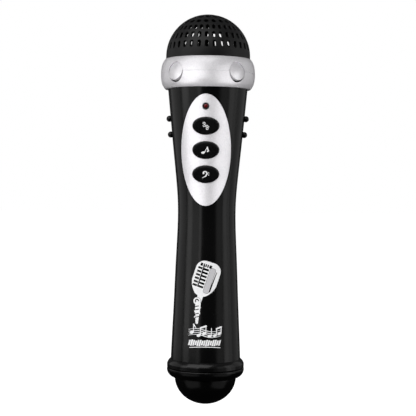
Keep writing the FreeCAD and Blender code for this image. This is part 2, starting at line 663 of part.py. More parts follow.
def capacitor():
    can = rod(2.5, V(5.2, BOARD_BACK_Y, -14.5), V(5.2, BOARD_BACK_Y + 7.0, -14.5))
    can = can.makeFillet(0.4, [e for e in can.Edges if e.Length > 10 and e.BoundBox.YMin > BOARD_BACK_Y + 6])
    return on_panel(can)


def transistor():
    body = rod(2.2, V(-5.2, BOARD_BACK_Y + 1.5, -14.5), V(-5.2, BOARD_BACK_Y + 6.0, -14.5))
    body = body.cut(block((-10, BOARD_BACK_Y, -14.5 - 4), (0, BOARD_BACK_Y + 8, -14.5 - 1.0)))
    legs = [rod(0.25, V(x, BOARD_BACK_Y, -14.3), V(x, BOARD_BACK_Y + 1.6, -14.3)) for x in (-6.4, -5.2, -4.0)]
    return on_panel(body.fuse(legs))


def board_screws():
    screws = []
    for x, z in BOARD_SCREWS:
        head = rod(1.7, V(x, BOARD_BACK_Y, z), V(x, BOARD_BACK_Y + 1.2, z))
        shank = rod(0.8, V(x, BOARD_BACK_Y, z), V(x, 5.0, z))
        slot = cross_slot(0.7, 0.5, 1.0)
        slot.translate(V(x, BOARD_BACK_Y + 1.2, z))
        screws.append(on_panel(head.fuse(shank).removeSplitter().cut(slot)))
    return Part.makeCompound(screws)


# ---- cells, tray, contacts ----------------------------------------------------------------------------
def battery_tray():
    """Open-backed box that holds the two cells, with a post for the door's screw."""
    y_floor = TRAY_FRONT_Y + TRAY_WALL
    outer = block((-TRAY_HALF_WIDTH, TRAY_FRONT_Y, TRAY_Z[0]), (TRAY_HALF_WIDTH, 9.0, TRAY_Z[1]))
    hollow = block((-TRAY_HALF_WIDTH + TRAY_WALL, y_floor, TRAY_Z[0] + TRAY_WALL),
                   (TRAY_HALF_WIDTH - TRAY_WALL, 12.0, TRAY_Z[1] - TRAY_WALL))
    slot = block((-PRONG_HALF_WIDTH - 0.3, 5.0, TRAY_Z[0] - 1), (PRONG_HALF_WIDTH + 0.3, 12.0, TRAY_Z[0] + 2))
    prong_slots = [slot.translated(V(x, 0, 0)) for x in (-PRONG_X, PRONG_X)]
    rib = block((-0.12, y_floor, TRAY_Z[0] + 8), (0.12, y_floor + 1.5, TRAY_Z[1] - 8))
    post = rod(3.0, V(0, TRAY_FRONT_Y, DOOR_SCREW_Z), V(0, DOOR_BOSS_Y, DOOR_SCREW_Z))
    web = block((-3.0, TRAY_FRONT_Y, TRAY_Z[1] - TRAY_WALL), (3.0, DOOR_BOSS_Y, DOOR_SCREW_Z))
    tray = outer.cut(hollow).cut(prong_slots).fuse([rib, post, web])
    tray = tray.cut(rod(SCREW_R + SCREW_FIT, V(0, y_floor, DOOR_SCREW_Z), V(0, 12, DOOR_SCREW_Z)))
    tabs = [block((s * 5.5 - 1.4, y_floor, TRAY_Z[1] - 2 * TRAY_WALL), (s * 5.5 + 1.4, 2.0, TRAY_Z[1] + 1)) for s in (-1, 1)]
    return tray.cut(tabs).common(handle_solid(-DOOR_THICK - 1.7)).removeSplitter()


def cell(side):
    """One cell; the left one stands nub up and the right one nub down."""
    nub, nub_r = 1.0, 1.9
    body = Part.makeCylinder(CELL_R, CELL_LENGTH - nub)
    body = body.makeFillet(0.5, [e for e in body.Edges if e.Length > 20 and e.BoundBox.ZLength < 1e-6])
    shape = body.fuse(Part.makeCylinder(nub_r, nub, V(0, 0, CELL_LENGTH - nub))).removeSplitter()
    low = CONTACT_HIGH_Z - CELL_LENGTH
    if side > 0:
        shape.rotate(V(0, 0, CELL_LENGTH / 2), X_AXIS, 180)
        low = CONTACT_LOW_Z + CONTACT_THICK
    shape.translate(V(side * CELL_X, CELL_Y, low))
    return shape


def bridge_contact():
    """Plate that joins the two cells at the bottom."""
    return block((-8.9, CELL_Y - 3.6, CONTACT_LOW_Z), (8.9, CELL_Y + 3.6, CONTACT_LOW_Z + CONTACT_THICK))


def end_contact(side):
    """Plate at the top end of one cell, with a solder tag through the tray's end wall."""
    plate = block((side * CELL_X - 3.6, CELL_Y - 3.6, CONTACT_HIGH_Z),
                  (side * CELL_X + 3.6, CELL_Y + 3.6, CONTACT_HIGH_Z + CONTACT_THICK))
    tag = block((side * 5.5 - 1.1, -0.6, CONTACT_HIGH_Z), (side * 5.5 + 1.1, -0.2, TRAY_Z[1] + 2.6))
    return plate.fuse(tag).removeSplitter()


def bridge_spring():
    return coil_spring(-CELL_X, CELL_Y, CONTACT_LOW_Z + CONTACT_THICK, CONTACT_HIGH_Z - CELL_LENGTH, 3.2, 2.2, 0.3, 3)


def top_spring():
    low = CONTACT_LOW_Z + CONTACT_THICK + CELL_LENGTH
    return coil_spring(CELL_X, CELL_Y, low, CONTACT_HIGH_Z, 2.2, 3.2, 0.3, 3)


# ---- leads --------------------------------------------------------------------------------------------
def board_point(x, z):
    """Point on the back face of the leaning board."""
    return on_panel(Part.Vertex(V(x, BOARD_BACK_Y, z))).Point


def board_out():
    """Direction square out of the back of the board."""
    lean = math.radians(PANEL_LEAN)
    return V(0, math.cos(lean), math.sin(lean))


def speaker_lead(side):
    """From the loudspeaker's terminal strip down to the top of the board."""
    top = V(side * SPEAKER_WIRE_X, TERMINAL_Y, TERMINAL_Z[0])
    end = board_point(side * 3.0, 14.0)
    away = end + board_out() * 4.5
    return swept([top, V(top.x, TERMINAL_Y, 148.0), away + V(0, 5.0, -6.0), away, end], 1.6, WIRE_R)


def battery_lead(side):
    """From a contact's solder tag up to the bottom of the board."""
    start = V(side * 5.5, 0.45, TRAY_Z[1] + 1.4)
    end = board_point(side * 3.2, -17.4)
    away = end + board_out() * 4.0
    return swept([start, V(start.x, 2.6, start.z + 4.5), V(side * 6.2, 2.6, 98.0), away, end], 1.4, WIRE_R)


# ---- studs, screws, ends ------------------------------------------------------------------------------
def grip_studs():
    """Round-headed studs on both sides of the handle, two to a side."""
    studs = []
    for z in GRIP_STUDS_Z:
        r = handle_radius(z)
        for side in (-1, 1):
            ball = Part.makeSphere(GRIP_BALL_R, V(side * (r + GRIP_BALL_OUT), 0, z))
            ball = ball.cut(handle_solid(0.02))
            shank = rod(GRIP_SHANK_R, V(side * (r - 2.2), 0, z), V(side * (r + 0.6), 0, z))
            head = rod(1.3, V(side * (r - WALL - 1.0), 0, z), V(side * (r - WALL - 0.3), 0, z))
            studs.append(ball.fuse([shank, head]).removeSplitter())
    return Part.makeCompound(studs)


def body_screws():
    return Part.makeCompound([back_screw(z, SCREW_SEAT_Y, 14.0) for z in BODY_SCREW_Z])


def door_screw():
    return back_screw(DOOR_SCREW_Z, DOOR_SEAT_Y, 10.0)


def end_ring():
    """Black ring round the bottom ends of the shells, its top edge swept into the handle."""
    bore, (low, high) = SPIGOT_R + SLIP, RING_Z
    top_r = HANDLE_OUTLINE[0][0] + 0.15
    return turned([
        line((bore, low), (RING_R - 0.35, low)), arc((RING_R - 0.35, low), (RING_R - 0.1, low + 0.1), (RING_R, low + 0.35)),
        line((RING_R, low + 0.35), (RING_R, 20.5)), arc((RING_R, 20.5), (18.75, 21.75), (top_r + 0.25, high - 0.2)),
        line((top_r + 0.25, high - 0.2), (top_r, high - SEAM)), line((top_r, high - SEAM), (bore, high - SEAM)),
        line((bore, high - SEAM), (bore, low)),
    ])


def quarter_ellipse(half_width, half_height):
    """Lower right quarter of an ellipse centred at the top of the end dome, in the XZ plane."""
    ellipse = Part.Ellipse(ORIGIN, half_width, half_height)
    edge = Part.ArcOfEllipse(ellipse, -math.pi / 2, 0).toShape()
    edge.Placement = FreeCAD.Placement(V(0, 0, END_DOME_HEIGHT), FreeCAD.Rotation(X_AXIS, 90))
    return edge


def end_cap():
    """Round cap: a hollow dome, a rounded flange and a grooved plug that the shells grip."""
    low, high = CAP_FLANGE_Z
    plug_r, groove_r, bore = SPIGOT_BORE_R - SLIP, SPIGOT_BORE_R - 0.9 - SLIP, 11.4
    lip_z, top = FOOT_Z - 1.3, FOOT_Z + 1.2
    flange = [
        line((END_DOME_R, END_DOME_HEIGHT), (END_DOME_R + 0.9, low)),
        arc((END_DOME_R + 0.9, low), (18.3, 15.0), (CAP_FLANGE_R, 17.3)),
        line((CAP_FLANGE_R, 17.3), (CAP_FLANGE_R, high - 0.4)),
        arc((CAP_FLANGE_R, high - 0.4), (CAP_FLANGE_R - 0.12, high - 0.12), (CAP_FLANGE_R - 0.4, high)),
    ]
    plug = polyline([
        (CAP_FLANGE_R - 0.4, high), (SPIGOT_R + 0.4, high), (SPIGOT_R + 0.4, SPIGOT_Z - SLIP), (plug_r, SPIGOT_Z - SLIP),
        (plug_r, lip_z - SLIP), (groove_r, lip_z - SLIP), (groove_r, FOOT_Z + SLIP), (plug_r, FOOT_Z + SLIP),
        (plug_r, top), (bore, top), (bore, END_DOME_HEIGHT + 1.0), (END_DOME_R - END_WALL, END_DOME_HEIGHT),
    ])
    inner = quarter_ellipse(END_DOME_R - END_WALL, END_DOME_HEIGHT - END_WALL)
    outer = quarter_ellipse(END_DOME_R, END_DOME_HEIGHT)
    return turned([outer] + flange + plug + [inner, line((0, END_WALL), (0, 0))])


# ---- build --------------------------------------------------------------------------------------------
def all_parts():
    parts = {
        "grille_dome": grille_dome(),
        "collar_ring": collar_ring(),
        "collar_studs": collar_studs(),
        "speaker_basket": speaker_basket(),
        "speaker_magnet": speaker_magnet(),
        "speaker_yoke": speaker_yoke(),
        "speaker_cone": speaker_cone(),
        "speaker_voice_coil": voice_coil(),
        "speaker_dust_cap": dust_cap(),
        "speaker_surround": speaker_surround(),
        "speaker_clamp_ring": speaker_clamp_ring(),
        "speaker_terminal_strip": speaker_terminal_strip(),
        "front_shell": front_shell(),
        "back_shell": back_shell(),
        "panel_bezel": panel_bezel(),
        "keypad_web": keypad_web(),
        "lamp": lamp(),
        "lamp_leads": lamp_leads(),
        "circuit_board": circuit_board(),
        "sound_chip": sound_chip(),
        "resistors": resistors(),
        "capacitor": capacitor(),
        "transistor": transistor(),
        "board_screws": board_screws(),
        "grip_studs": grip_studs(),
        "body_screws": body_screws(),
        "battery_tray": battery_tray(),
        "battery_left": cell(-1),
        "battery_right": cell(1),
        "bridge_contact": bridge_contact(),
        "bridge_contact_spring": bridge_spring(),
        "positive_contact": end_contact(-1),
        "negative_contact": end_contact(1),
        "negative_contact_spring": top_spring(),
        "battery_door": battery_door(),
        "battery_door_screw": door_screw(),
        "end_ring": end_ring(),
        "end_cap": end_cap(),
        "speaker_lead_left": speaker_lead(-1),
        "speaker_lead_right": speaker_lead(1),
        "battery_lead_red": battery_lead(-1),
        "battery_lead_black": battery_lead(1),
    }
    for name, z in BUTTONS.items():
        parts[name + "_button"] = button(z)
        parts[name + "_contact_pill"] = contact_pill(z)
        parts[name + "_dome_spring"] = dome_spring(z)
    return parts


def main():
    os.makedirs("parts", exist_ok=True)
    for name, shape in all_parts().items():
        if not shape.isValid():
            print("not valid:", name)
        print(f"{name}: {len(shape.Solids)} solid(s), {shape.Volume:.1f} mm3")
        shape.exportStep(f"parts/{name}.step")


if __name__ == "__main__":
    main()
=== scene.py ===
"""Looks for a hand-held toy microphone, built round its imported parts.

Every part gets a finish: polished and satin black mouldings, sprayed silver trim, a red lamp, and the metals,
papers, rubbers and laminates of what is inside. White ink is laid on the handle and on the push-buttons, and
the stage adds a camera, soft lights and a pale floor. All lengths are metres, in the parts' own frame:
+Z up along the handle's axis, -Y to the front.
"""

import json
import math

import bpy
import numpy as np
from bpy.props import FloatProperty, FloatVectorProperty, PointerProperty
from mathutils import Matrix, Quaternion, Vector
from mathutils.bvhtree import BVHTree

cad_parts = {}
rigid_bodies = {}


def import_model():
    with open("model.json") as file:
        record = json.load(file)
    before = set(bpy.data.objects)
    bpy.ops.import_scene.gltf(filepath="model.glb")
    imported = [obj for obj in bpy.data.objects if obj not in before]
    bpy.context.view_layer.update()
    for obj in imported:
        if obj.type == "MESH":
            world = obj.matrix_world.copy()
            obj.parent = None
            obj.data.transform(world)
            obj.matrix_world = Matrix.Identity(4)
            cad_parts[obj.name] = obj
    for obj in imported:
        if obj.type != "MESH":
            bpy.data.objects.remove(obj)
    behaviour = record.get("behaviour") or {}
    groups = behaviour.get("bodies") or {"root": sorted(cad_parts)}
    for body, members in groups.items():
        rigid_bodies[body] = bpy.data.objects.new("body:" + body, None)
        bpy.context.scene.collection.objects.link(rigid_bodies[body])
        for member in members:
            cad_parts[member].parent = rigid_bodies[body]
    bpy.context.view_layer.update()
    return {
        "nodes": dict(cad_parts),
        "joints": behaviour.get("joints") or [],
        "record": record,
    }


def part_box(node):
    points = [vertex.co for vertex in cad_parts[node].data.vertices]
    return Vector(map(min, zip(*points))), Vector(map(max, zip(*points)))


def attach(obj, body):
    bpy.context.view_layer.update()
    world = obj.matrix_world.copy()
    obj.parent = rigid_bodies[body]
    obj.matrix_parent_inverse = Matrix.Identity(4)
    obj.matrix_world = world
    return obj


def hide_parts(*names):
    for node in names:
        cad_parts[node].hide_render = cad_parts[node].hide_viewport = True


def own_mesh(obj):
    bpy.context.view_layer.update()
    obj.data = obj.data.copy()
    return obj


bl_info = {
    "name": "Toy microphone",
    "version": (1, 0, 0),
    "blender": (4, 5, 0),
    "location": "3D View > Sidebar > Toy microphone",
    "description": "Finishes, printed signs and stage for a hand-held toy microphone",
    "category": "Object",
}

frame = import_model()
SLOT_OF = {part["node"]: part["material_slot"] for part in frame["record"]["subparts"]}
BUTTONS = ("upper", "middle", "lower")
MM = 0.001
SKIN = 0.02 * MM               # points of a mesh this close to a plane lie in it
TURN = 2 * math.pi
UP = Vector((0, 0, 1))
RIGHT = Vector((1, 0, 0))


# ---- settings -----------------------------------------------------------------------------------------
def colour(name, default, description):
    return FloatVectorProperty(name=name, description=description, default=default, size=3,
                               min=0.0, max=1.0, subtype="COLOR")


def share(name, default, description):
    return FloatProperty(name=name, description=description, default=default, min=0.0, max=1.0,
                         subtype="FACTOR")


def length(name, default, description):
    return FloatProperty(name=name, description=description, default=default, min=0.0, subtype="DISTANCE",
                         unit="LENGTH")


class FinishSettings(bpy.types.PropertyGroup):
    shell: colour("Shell", (0.0032, 0.0032, 0.0034), "Colour of the polished black mouldings")
    shell_roughness: share("Shell roughness", 0.17, "Roughness of the polished black mouldings")
    grille: colour("Grille", (0.005, 0.005, 0.0055), "Colour of the perforated dome")
    grille_roughness: share("Grille roughness", 0.42, "Roughness of the perforated dome")
    button: colour("Button", (0.006, 0.006, 0.0065), "Colour of the push-buttons")
    silver: colour("Silver", (0.80, 0.785, 0.81), "Colour of the sprayed silver lacquer")
    silver_roughness: share("Silver roughness", 0.29, "Roughness of the silver lacquer")
    lamp: colour("Lamp", (0.30, 0.004, 0.008), "Colour of the clear lamp")
    sleeve: colour("Cell sleeve", (0.02, 0.16, 0.10), "Colour of the cells' printed sleeve")


class PrintSettings(bpy.types.PropertyGroup):
    ink: colour("Ink", (0.93, 0.93, 0.94), "Colour of the white ink")
    shade: colour("Shade", (0.58, 0.57, 0.59), "Colour of the grey ink that shades the picture")
    thickness: length("Thickness", 0.05 * MM, "How far the ink stands above the surface")
    grid: length("Outline step", 0.11 * MM, "Spacing of the points that the ink's outlines are cut at")
    picture_height: length("Picture height", 64.0 * MM, "Height of the middle of the picture's head")
    picture_tilt: FloatProperty(name="Picture tilt", description="How far the picture leans to the right",
                                default=math.radians(18.0), subtype="ANGLE", unit="ROTATION")
    ornament_height: length("Ornament height", 36.2 * MM, "Height of the middle of the ornament")


class StageSettings(bpy.types.PropertyGroup):
    lens: FloatProperty(name="Focal length", description="Focal length of the camera, in millimetres",
                        default=99.5, min=1.0)
    camera_distance: length("Camera distance", 0.577, "From the handle's axis to the camera")
    camera_height: length("Camera height", 0.111, "Height of the camera above the end cap")
    floor_drop: length("Floor drop", 0.06, "How far the floor lies under the end cap")
    floor: colour("Floor", (0.86, 0.86, 0.86), "Colour of the floor")
    key: FloatProperty(name="Key light", description="Radiance of the light above the front", default=1.1,
                       min=0.0)
    side: FloatProperty(name="Side lights", description="Radiance of a side light whose share is 1",
                        default=1.0, min=0.0)
    ambient: FloatProperty(name="Ambient", description="Radiance of the room beside the lights",
                           default=0.045, min=0.0)


class MicrophoneSettings(bpy.types.PropertyGroup):
    finish: PointerProperty(type=FinishSettings)
    printing: PointerProperty(type=PrintSettings)
    stage: PointerProperty(type=StageSettings)


def settings():
    return bpy.context.scene.toy_microphone


# ---- shader maths -------------------------------------------------------------------------------------
class Level:
    """A number that varies over a surface. Arithmetic on it adds Math nodes."""

    def __init__(self, graph, socket):
        self.graph = graph
        self.socket = socket

    def maths(self, operation, *values):
        return self.graph.add("ShaderNodeMath", {"operation": operation}, dict(enumerate(values)))

    def __add__(self, other):
        return self.maths("ADD", self, other)

    __radd__ = __add__

    def __sub__(self, other):
        return self.maths("SUBTRACT", self, other)

    def __rsub__(self, other):
        return self.maths("SUBTRACT", other, self)

    def __mul__(self, other):
        return self.maths("MULTIPLY", self, other)

    __rmul__ = __mul__

    def __truediv__(self, other):
        return self.maths("DIVIDE", self, other)

    def __gt__(self, other):
        return self.maths("GREATER_THAN", self, other)

    def __lt__(self, other):
        return self.maths("LESS_THAN", self, other)


class Graph:
    """A node tree that is built from code."""

    def __init__(self, tree):
        self.tree = tree
        tree.nodes.clear()

    def add(self, kind, choices=None, inputs=None, output=0):
        """Adds a node: its choices first, then the values or links of its sockets."""
        node = self.tree.nodes.new(kind)
        for key, value in (choices or {}).items():
            if key == "stops":
                self.set_stops(node.color_ramp.elements, value)
            else:
                setattr(node, key, value)
        for key, value in (inputs or {}).items():
            if isinstance(value, Level):
                self.tree.links.new(value.socket, node.inputs[key])
            else:
                node.inputs[key].default_value = value
        return Level(self, node.outputs[output])

    @staticmethod
    def set_stops(elements, stops):
        """Places a ramp's stops, each a position and a grey level."""
        while len(elements) < len(stops):
            elements.new(1.0)
        for element, (position, grey) in zip(elements, stops):
            element.position = position
            element.color = (grey, grey, grey, 1.0)

    def ramp(self, level, *stops):
        return self.add("ShaderNodeValToRGB", {"stops": stops}, {0: level})

    def mix(self, level, one, other):
        """Colour one where level is 0 and the other colour where it is 1."""
        ends = [c if isinstance(c, Level) else (*c, 1.0) for c in (one, other)]
        return self.add("ShaderNodeMix", {"data_type": "RGBA"}, {0: level, 6: ends[0], 7: ends[1]}, 2)

    def axis(self, vector, index):
        return self.add("ShaderNodeSeparateXYZ", None, {0: vector}, index)


class Finish(Graph):
    """A material, in the surface's own coordinates."""

    def __init__(self, name):
        self.material = bpy.data.materials.new(name)
        self.material.use_nodes = True
        super().__init__(self.material.node_tree)
        self.place = self.add("ShaderNodeTexCoord", None, None, 3)

    def stretched(self, x, y, z, origin=(0.0, 0.0, 0.0)):
        moved = self.add("ShaderNodeVectorMath", {"operation": "SUBTRACT"}, {0: self.place, 1: origin})
        return self.add("ShaderNodeVectorMath", {"operation": "MULTIPLY"}, {0: moved, 1: (x, y, z)})

    def noise(self, size, detail=2.0, place=None):
        """Cloudy level from 0 to 1 whose blotches are about size across."""
        return self.add("ShaderNodeTexNoise", None,
                        {"Vector": place or self.place, "Scale": 1.0 / size, "Detail": detail})

    def cells(self, size, feature="F1", output=0, place=None):
        return self.add("ShaderNodeTexVoronoi", {"feature": feature},
                        {"Vector": place or self.place, "Scale": 1.0 / size}, output)

    def specks(self, size, level):
        """1 on a few scattered points about size apart, otherwise 0."""
        return self.cells(size) < level

    def bump(self, height, depth, under=None):
        inputs = {"Height": height, "Distance": depth, "Strength": 1.0}
        if under:
            inputs["Normal"] = under
        return self.add("ShaderNodeBump", None, inputs)

    def surface(self, **inputs):
        """Ends the material in one shader. Words of a socket's name are joined with _."""
        named = {key.replace("_", " "): value for key, value in inputs.items()}
        for key, value in list(named.items()):
            if key.endswith("Color") and not isinstance(value, Level):
                named[key] = (*value, 1.0)
        shader = self.add("ShaderNodeBsdfPrincipled", None, named)
        self.add_output(shader)
        return self.material

    def add_output(self, shader):
        out = self.tree.nodes.new("ShaderNodeOutputMaterial")
        self.tree.links.new(shader.socket, out.inputs["Surface"])


def lighter(tone, factor):
    return tuple(min(1.0, part * factor) for part in tone)


# ---- finishes -----------------------------------------------------------------------------------------
def polished_moulding(name, tone, roughness):
    """Polished black moulding: faint ripple, soft handling haze, hairlines and a little dust."""
    f = Finish(name)
    flow = f.noise(22 * MM, 3.0)
    haze = f.ramp(f.noise(7 * MM, 4.0), (0.42, 0.0), (0.72, 1.0))
    hairs = f.ramp(f.noise(0.5 * MM, 1.0, f.stretched(1.0, 1.0, 0.02)), (0.66, 0.0), (0.74, 1.0))
    dust = f.specks(1.6 * MM, 0.07)
    ripple = f.noise(2.6 * MM, 1.0)
    grain = f.noise(0.12 * MM, 2.0)
    under = f.bump(ripple, 0.011 * MM)
    return f.surface(
        Base_Color=f.mix(flow * 0.4 + dust * 0.3, tone, lighter(tone, 2.2)),
        Roughness=roughness + haze * 0.05 + hairs * 0.06 + dust * 0.3 + flow * 0.03,
        Normal=f.bump(grain + hairs * 0.6, 0.0007 * MM, under),
        IOR=1.5)


def satin_moulding(name, tone, roughness, grain_size=0.22 * MM, depth=0.012 * MM):
    """Satin black moulding with the fine pebble of a spark-eroded mould."""
    f = Finish(name)
    pebble = f.noise(grain_size, 3.0)
    flow = f.noise(12 * MM, 3.0)
    rubbed = f.ramp(f.noise(4 * MM, 4.0), (0.45, 0.0), (0.75, 1.0))
    dust = f.specks(1.1 * MM, 0.08)
    return f.surface(
        Base_Color=f.mix(pebble * 0.4 + flow * 0.3 + dust * 0.5, lighter(tone, 0.8), lighter(tone, 2.0)),
        Roughness=roughness + pebble * 0.1 - rubbed * 0.06,
        Normal=f.bump(pebble, depth),
        IOR=1.5)


def silver_lacquer(name, tone, roughness):
    """Sprayed metallic lacquer: tiny flakes of differing brightness under a softly rippled film."""
    f = Finish(name)
    flake = f.axis(f.cells(0.16 * MM, output=1), 0)
    coarse = f.axis(f.cells(0.42 * MM, output=1), 1)
    cloud = f.noise(9 * MM, 3.0)
    ripple = f.noise(1.4 * MM, 2.0)
    worn = f.specks(2.3 * MM, 0.05)
    level = flake * 0.5 + coarse * 0.28 + cloud * 0.3 - worn * 0.3
    return f.surface(
        Base_Color=f.mix(level, lighter(tone, 0.84), lighter(tone, 1.16)),
        Metallic=0.30 + flake * 0.12,
        Roughness=roughness + coarse * 0.1 + cloud * 0.05,
        Normal=f.bump(flake * 0.5 + coarse * 0.3, 0.0022 * MM, f.bump(ripple, 0.006 * MM)),
        IOR=1.5)


def white_ink(name, tone):
    """Pad-printed ink: slightly uneven cover, with pinholes and a dry, fine surface."""
    f = Finish(name)
    cover = f.noise(0.8 * MM, 4.0)
    pinholes = f.specks(0.5 * MM, 0.10)
    return f.surface(
        Base_Color=f.mix(cover * 0.35 + pinholes * 0.45, tone, lighter(tone, 0.62)),
        Roughness=0.42 + cover * 0.15,
        Normal=f.bump(cover - pinholes, 0.004 * MM))


def clear_lamp(name, tone):
    """Clear tinted epoxy with small bubbles; painted shade darkens its colour toward the rim, round a lighter
    middle where the chip sits.
    """
    f = Finish(name)
    low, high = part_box("lamp")
    axis = Vector(frame["joints"][0]["axis"])
    beside = f.add("ShaderNodeVectorMath", {"operation": "SUBTRACT"}, {0: f.place, 1: (low + high) / 2})
    aside = f.add("ShaderNodeVectorMath", {"operation": "CROSS_PRODUCT"}, {0: beside, 1: axis})
    radius = f.add("ShaderNodeVectorMath", {"operation": "LENGTH"}, {0: aside}, 1)
    # painted shade: 1 in the lamp's middle, falling to 0 at its rim
    painted_rim_shade = f.ramp(radius / (2 * MM), (0.30, 1.0), (0.56, 0.0))
    swirl = f.noise(0.9 * MM, 3.0)
    bubbles = f.specks(0.35 * MM, 0.12)
    return f.surface(
        # the mix puts painted shade on the rim of the lamp's colour
        Base_Color=f.mix(painted_rim_shade * (0.75 + swirl * 0.3) + bubbles * 0.05, lighter(tone, 0.06), tone),
        Roughness=0.16 + swirl * 0.08,
        Normal=f.bump(swirl, 0.002 * MM),
        Coat_Weight=0.2,
        IOR=1.45)


def rubber(name, tone, roughness, pore, depth):
    """Soft rubber: fine pores, pale bloom and dust that sticks to it."""
    f = Finish(name)
    pores = f.cells(pore)
    bloom = f.noise(3 * MM, 4.0)
    dust = f.specks(0.7 * MM, 0.12)
    return f.surface(
        Base_Color=f.mix(bloom * 0.6 + dust * 0.5, lighter(tone, 0.8), lighter(tone, 1.5)),
        Roughness=roughness + bloom * 0.12,
        Normal=f.bump(pores, depth),
        Sheen_Weight=0.12)


def bare_metal(name, tone, roughness, scratch=(1.0, 1.0, 1.0), tarnish=(0.35, 0.30, 0.24)):
    """Plated or drawn metal: fine scratches, and tarnish in the hollows of a slow pattern."""
    f = Finish(name)
    lines = f.noise(0.12 * MM, 2.0, f.stretched(*scratch))
    stain = f.ramp(f.noise(1.7 * MM, 4.0), (0.52, 0.0), (0.78, 1.0))
    pits = f.specks(0.45 * MM, 0.09)
    return f.surface(
        Base_Color=f.mix(stain * 0.45 + pits * 0.3, tone, tarnish),
        Metallic=1.0,
        Roughness=roughness + lines * 0.16 + stain * 0.15,
        Normal=f.bump(lines - pits, 0.003 * MM))


def rough_solid(name, tone, roughness, grain_size, depth, metallic=0.0):
    """Plain technical surface, such as ferrite, resin or stoved paint, with its own grain."""
    f = Finish(name)
    grain = f.noise(grain_size, 4.0)
    patch = f.noise(grain_size * 9, 3.0)
    chips = f.specks(grain_size * 5, 0.10)
    return f.surface(
        Base_Color=f.mix(grain * 0.5 + patch * 0.3 + chips * 0.4, lighter(tone, 0.75), lighter(tone, 1.9)),
        Roughness=roughness + grain * 0.14 + chips * 0.1,
        Metallic=metallic,
        Normal=f.bump(grain - chips, depth))


def pressed_paper(name, tone):
    """Pressed paper: felted fibres, and shallow rings round the handle's axis."""
    f = Finish(name)
    fibres = f.noise(0.35 * MM, 5.0, f.stretched(1.0, 0.45, 1.0))
    flat = f.stretched(1.0, 1.0, 0.0)
    radius = f.add("ShaderNodeVectorMath", {"operation": "LENGTH"}, {0: flat}, 1)
    rings = f.add("ShaderNodeMath", {"operation": "SINE"}, {0: radius * (TURN / (1.5 * MM))})
    return f.surface(
        Base_Color=f.mix(fibres, lighter(tone, 0.6), lighter(tone, 2.0)),
        Roughness=0.8 + fibres * 0.12,
        Normal=f.bump(fibres, 0.03 * MM, f.bump(rings, 0.05 * MM)))


def coil_winding(name, tone):
    """Enamelled wire wound side by side, with painted shade in the grooves between turns and a painted
    highlight on their crowns.
    """
    f = Finish(name)
    height = f.axis(f.place, 2)
    # this sine gives the turns' ridges, and also a painted shade and highlight in their colour
    turns = f.add("ShaderNodeMath", {"operation": "SINE"}, {0: height * (TURN / (0.2 * MM))})
    return f.surface(
        # painted shade darkens the grooves between turns and a painted highlight lightens their crowns
        Base_Color=f.mix(turns * 0.5 + 0.5, lighter(tone, 0.45), lighter(tone, 1.2)),
        Metallic=0.9,
        Roughness=0.28 + f.noise(0.5 * MM) * 0.2,
        Normal=f.bump(turns, 0.03 * MM))


def circuit_laminate(name, base):
    """Board with printed tracks under a green mask; the bare laminate shows between them."""
    f = Finish(name)
    across = f.axis(f.place, 0)
    up = f.axis(f.place, 2)
    wander = f.noise(6 * MM, 1.0)
    along_tracks = across * (TURN / (2.4 * MM)) + wander * 6.0
    tracks = f.add("ShaderNodeMath", {"operation": "SINE"}, {0: along_tracks}) > 0.25
    along_rungs = up * (TURN / (5.2 * MM)) + wander * 4.0
    rungs = f.add("ShaderNodeMath", {"operation": "SINE"}, {0: along_rungs}) > 0.7
    copper = f.add("ShaderNodeMath", {"operation": "MAXIMUM"}, {0: tracks, 1: rungs})
    fibres = f.noise(0.3 * MM, 4.0)
    mask = f.mix(copper, (0.010, 0.085, 0.030), (0.022, 0.165, 0.055))
    return f.surface(
        Base_Color=f.mix(fibres * 0.35, mask, base),
        Roughness=0.32 + fibres * 0.12,
        Normal=f.bump(copper, 0.03 * MM, f.bump(fibres, 0.004 * MM)))


def printed_sleeve(name, tone):
    """Cell sleeve: coloured film with two pale bands and a bare steel rim at both ends."""
    f = Finish(name)
    low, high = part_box("battery_left")
    up = f.axis(f.place, 2)
    level = (up - low.z) / (high.z - low.z)
    bands = f.ramp(level, (0.0, 0.0), (0.055, 0.0), (0.06, 1.0), (0.93, 1.0), (0.935, 0.0))
    stripe = ((level > 0.30) * (level < 0.34)) + ((level > 0.64) * (level < 0.78))
    film = f.mix(stripe, tone, (0.78, 0.74, 0.55))
    wrinkle = f.noise(2.5 * MM, 3.0, f.stretched(1.0, 1.0, 0.3))
    return f.surface(
        Base_Color=f.mix(bands, (0.66, 0.65, 0.62), film),
        Metallic=1.0 - bands * 0.75,
        Roughness=0.22 + wrinkle * 0.12,
        Normal=f.bump(wrinkle, 0.02 * MM))


def wire_sleeve(name, tone):
    """Thin plastic insulation, with die lines along it and finger grease."""
    f = Finish(name)
    lines = f.noise(0.15 * MM, 2.0, f.stretched(1.0, 1.0, 0.08))
    grease = f.noise(2 * MM, 3.0)
    return f.surface(
        Base_Color=f.mix(grease * 0.5, tone, lighter(tone, 1.5)),
        Roughness=0.3 + grease * 0.15,
        Normal=f.bump(lines, 0.006 * MM))


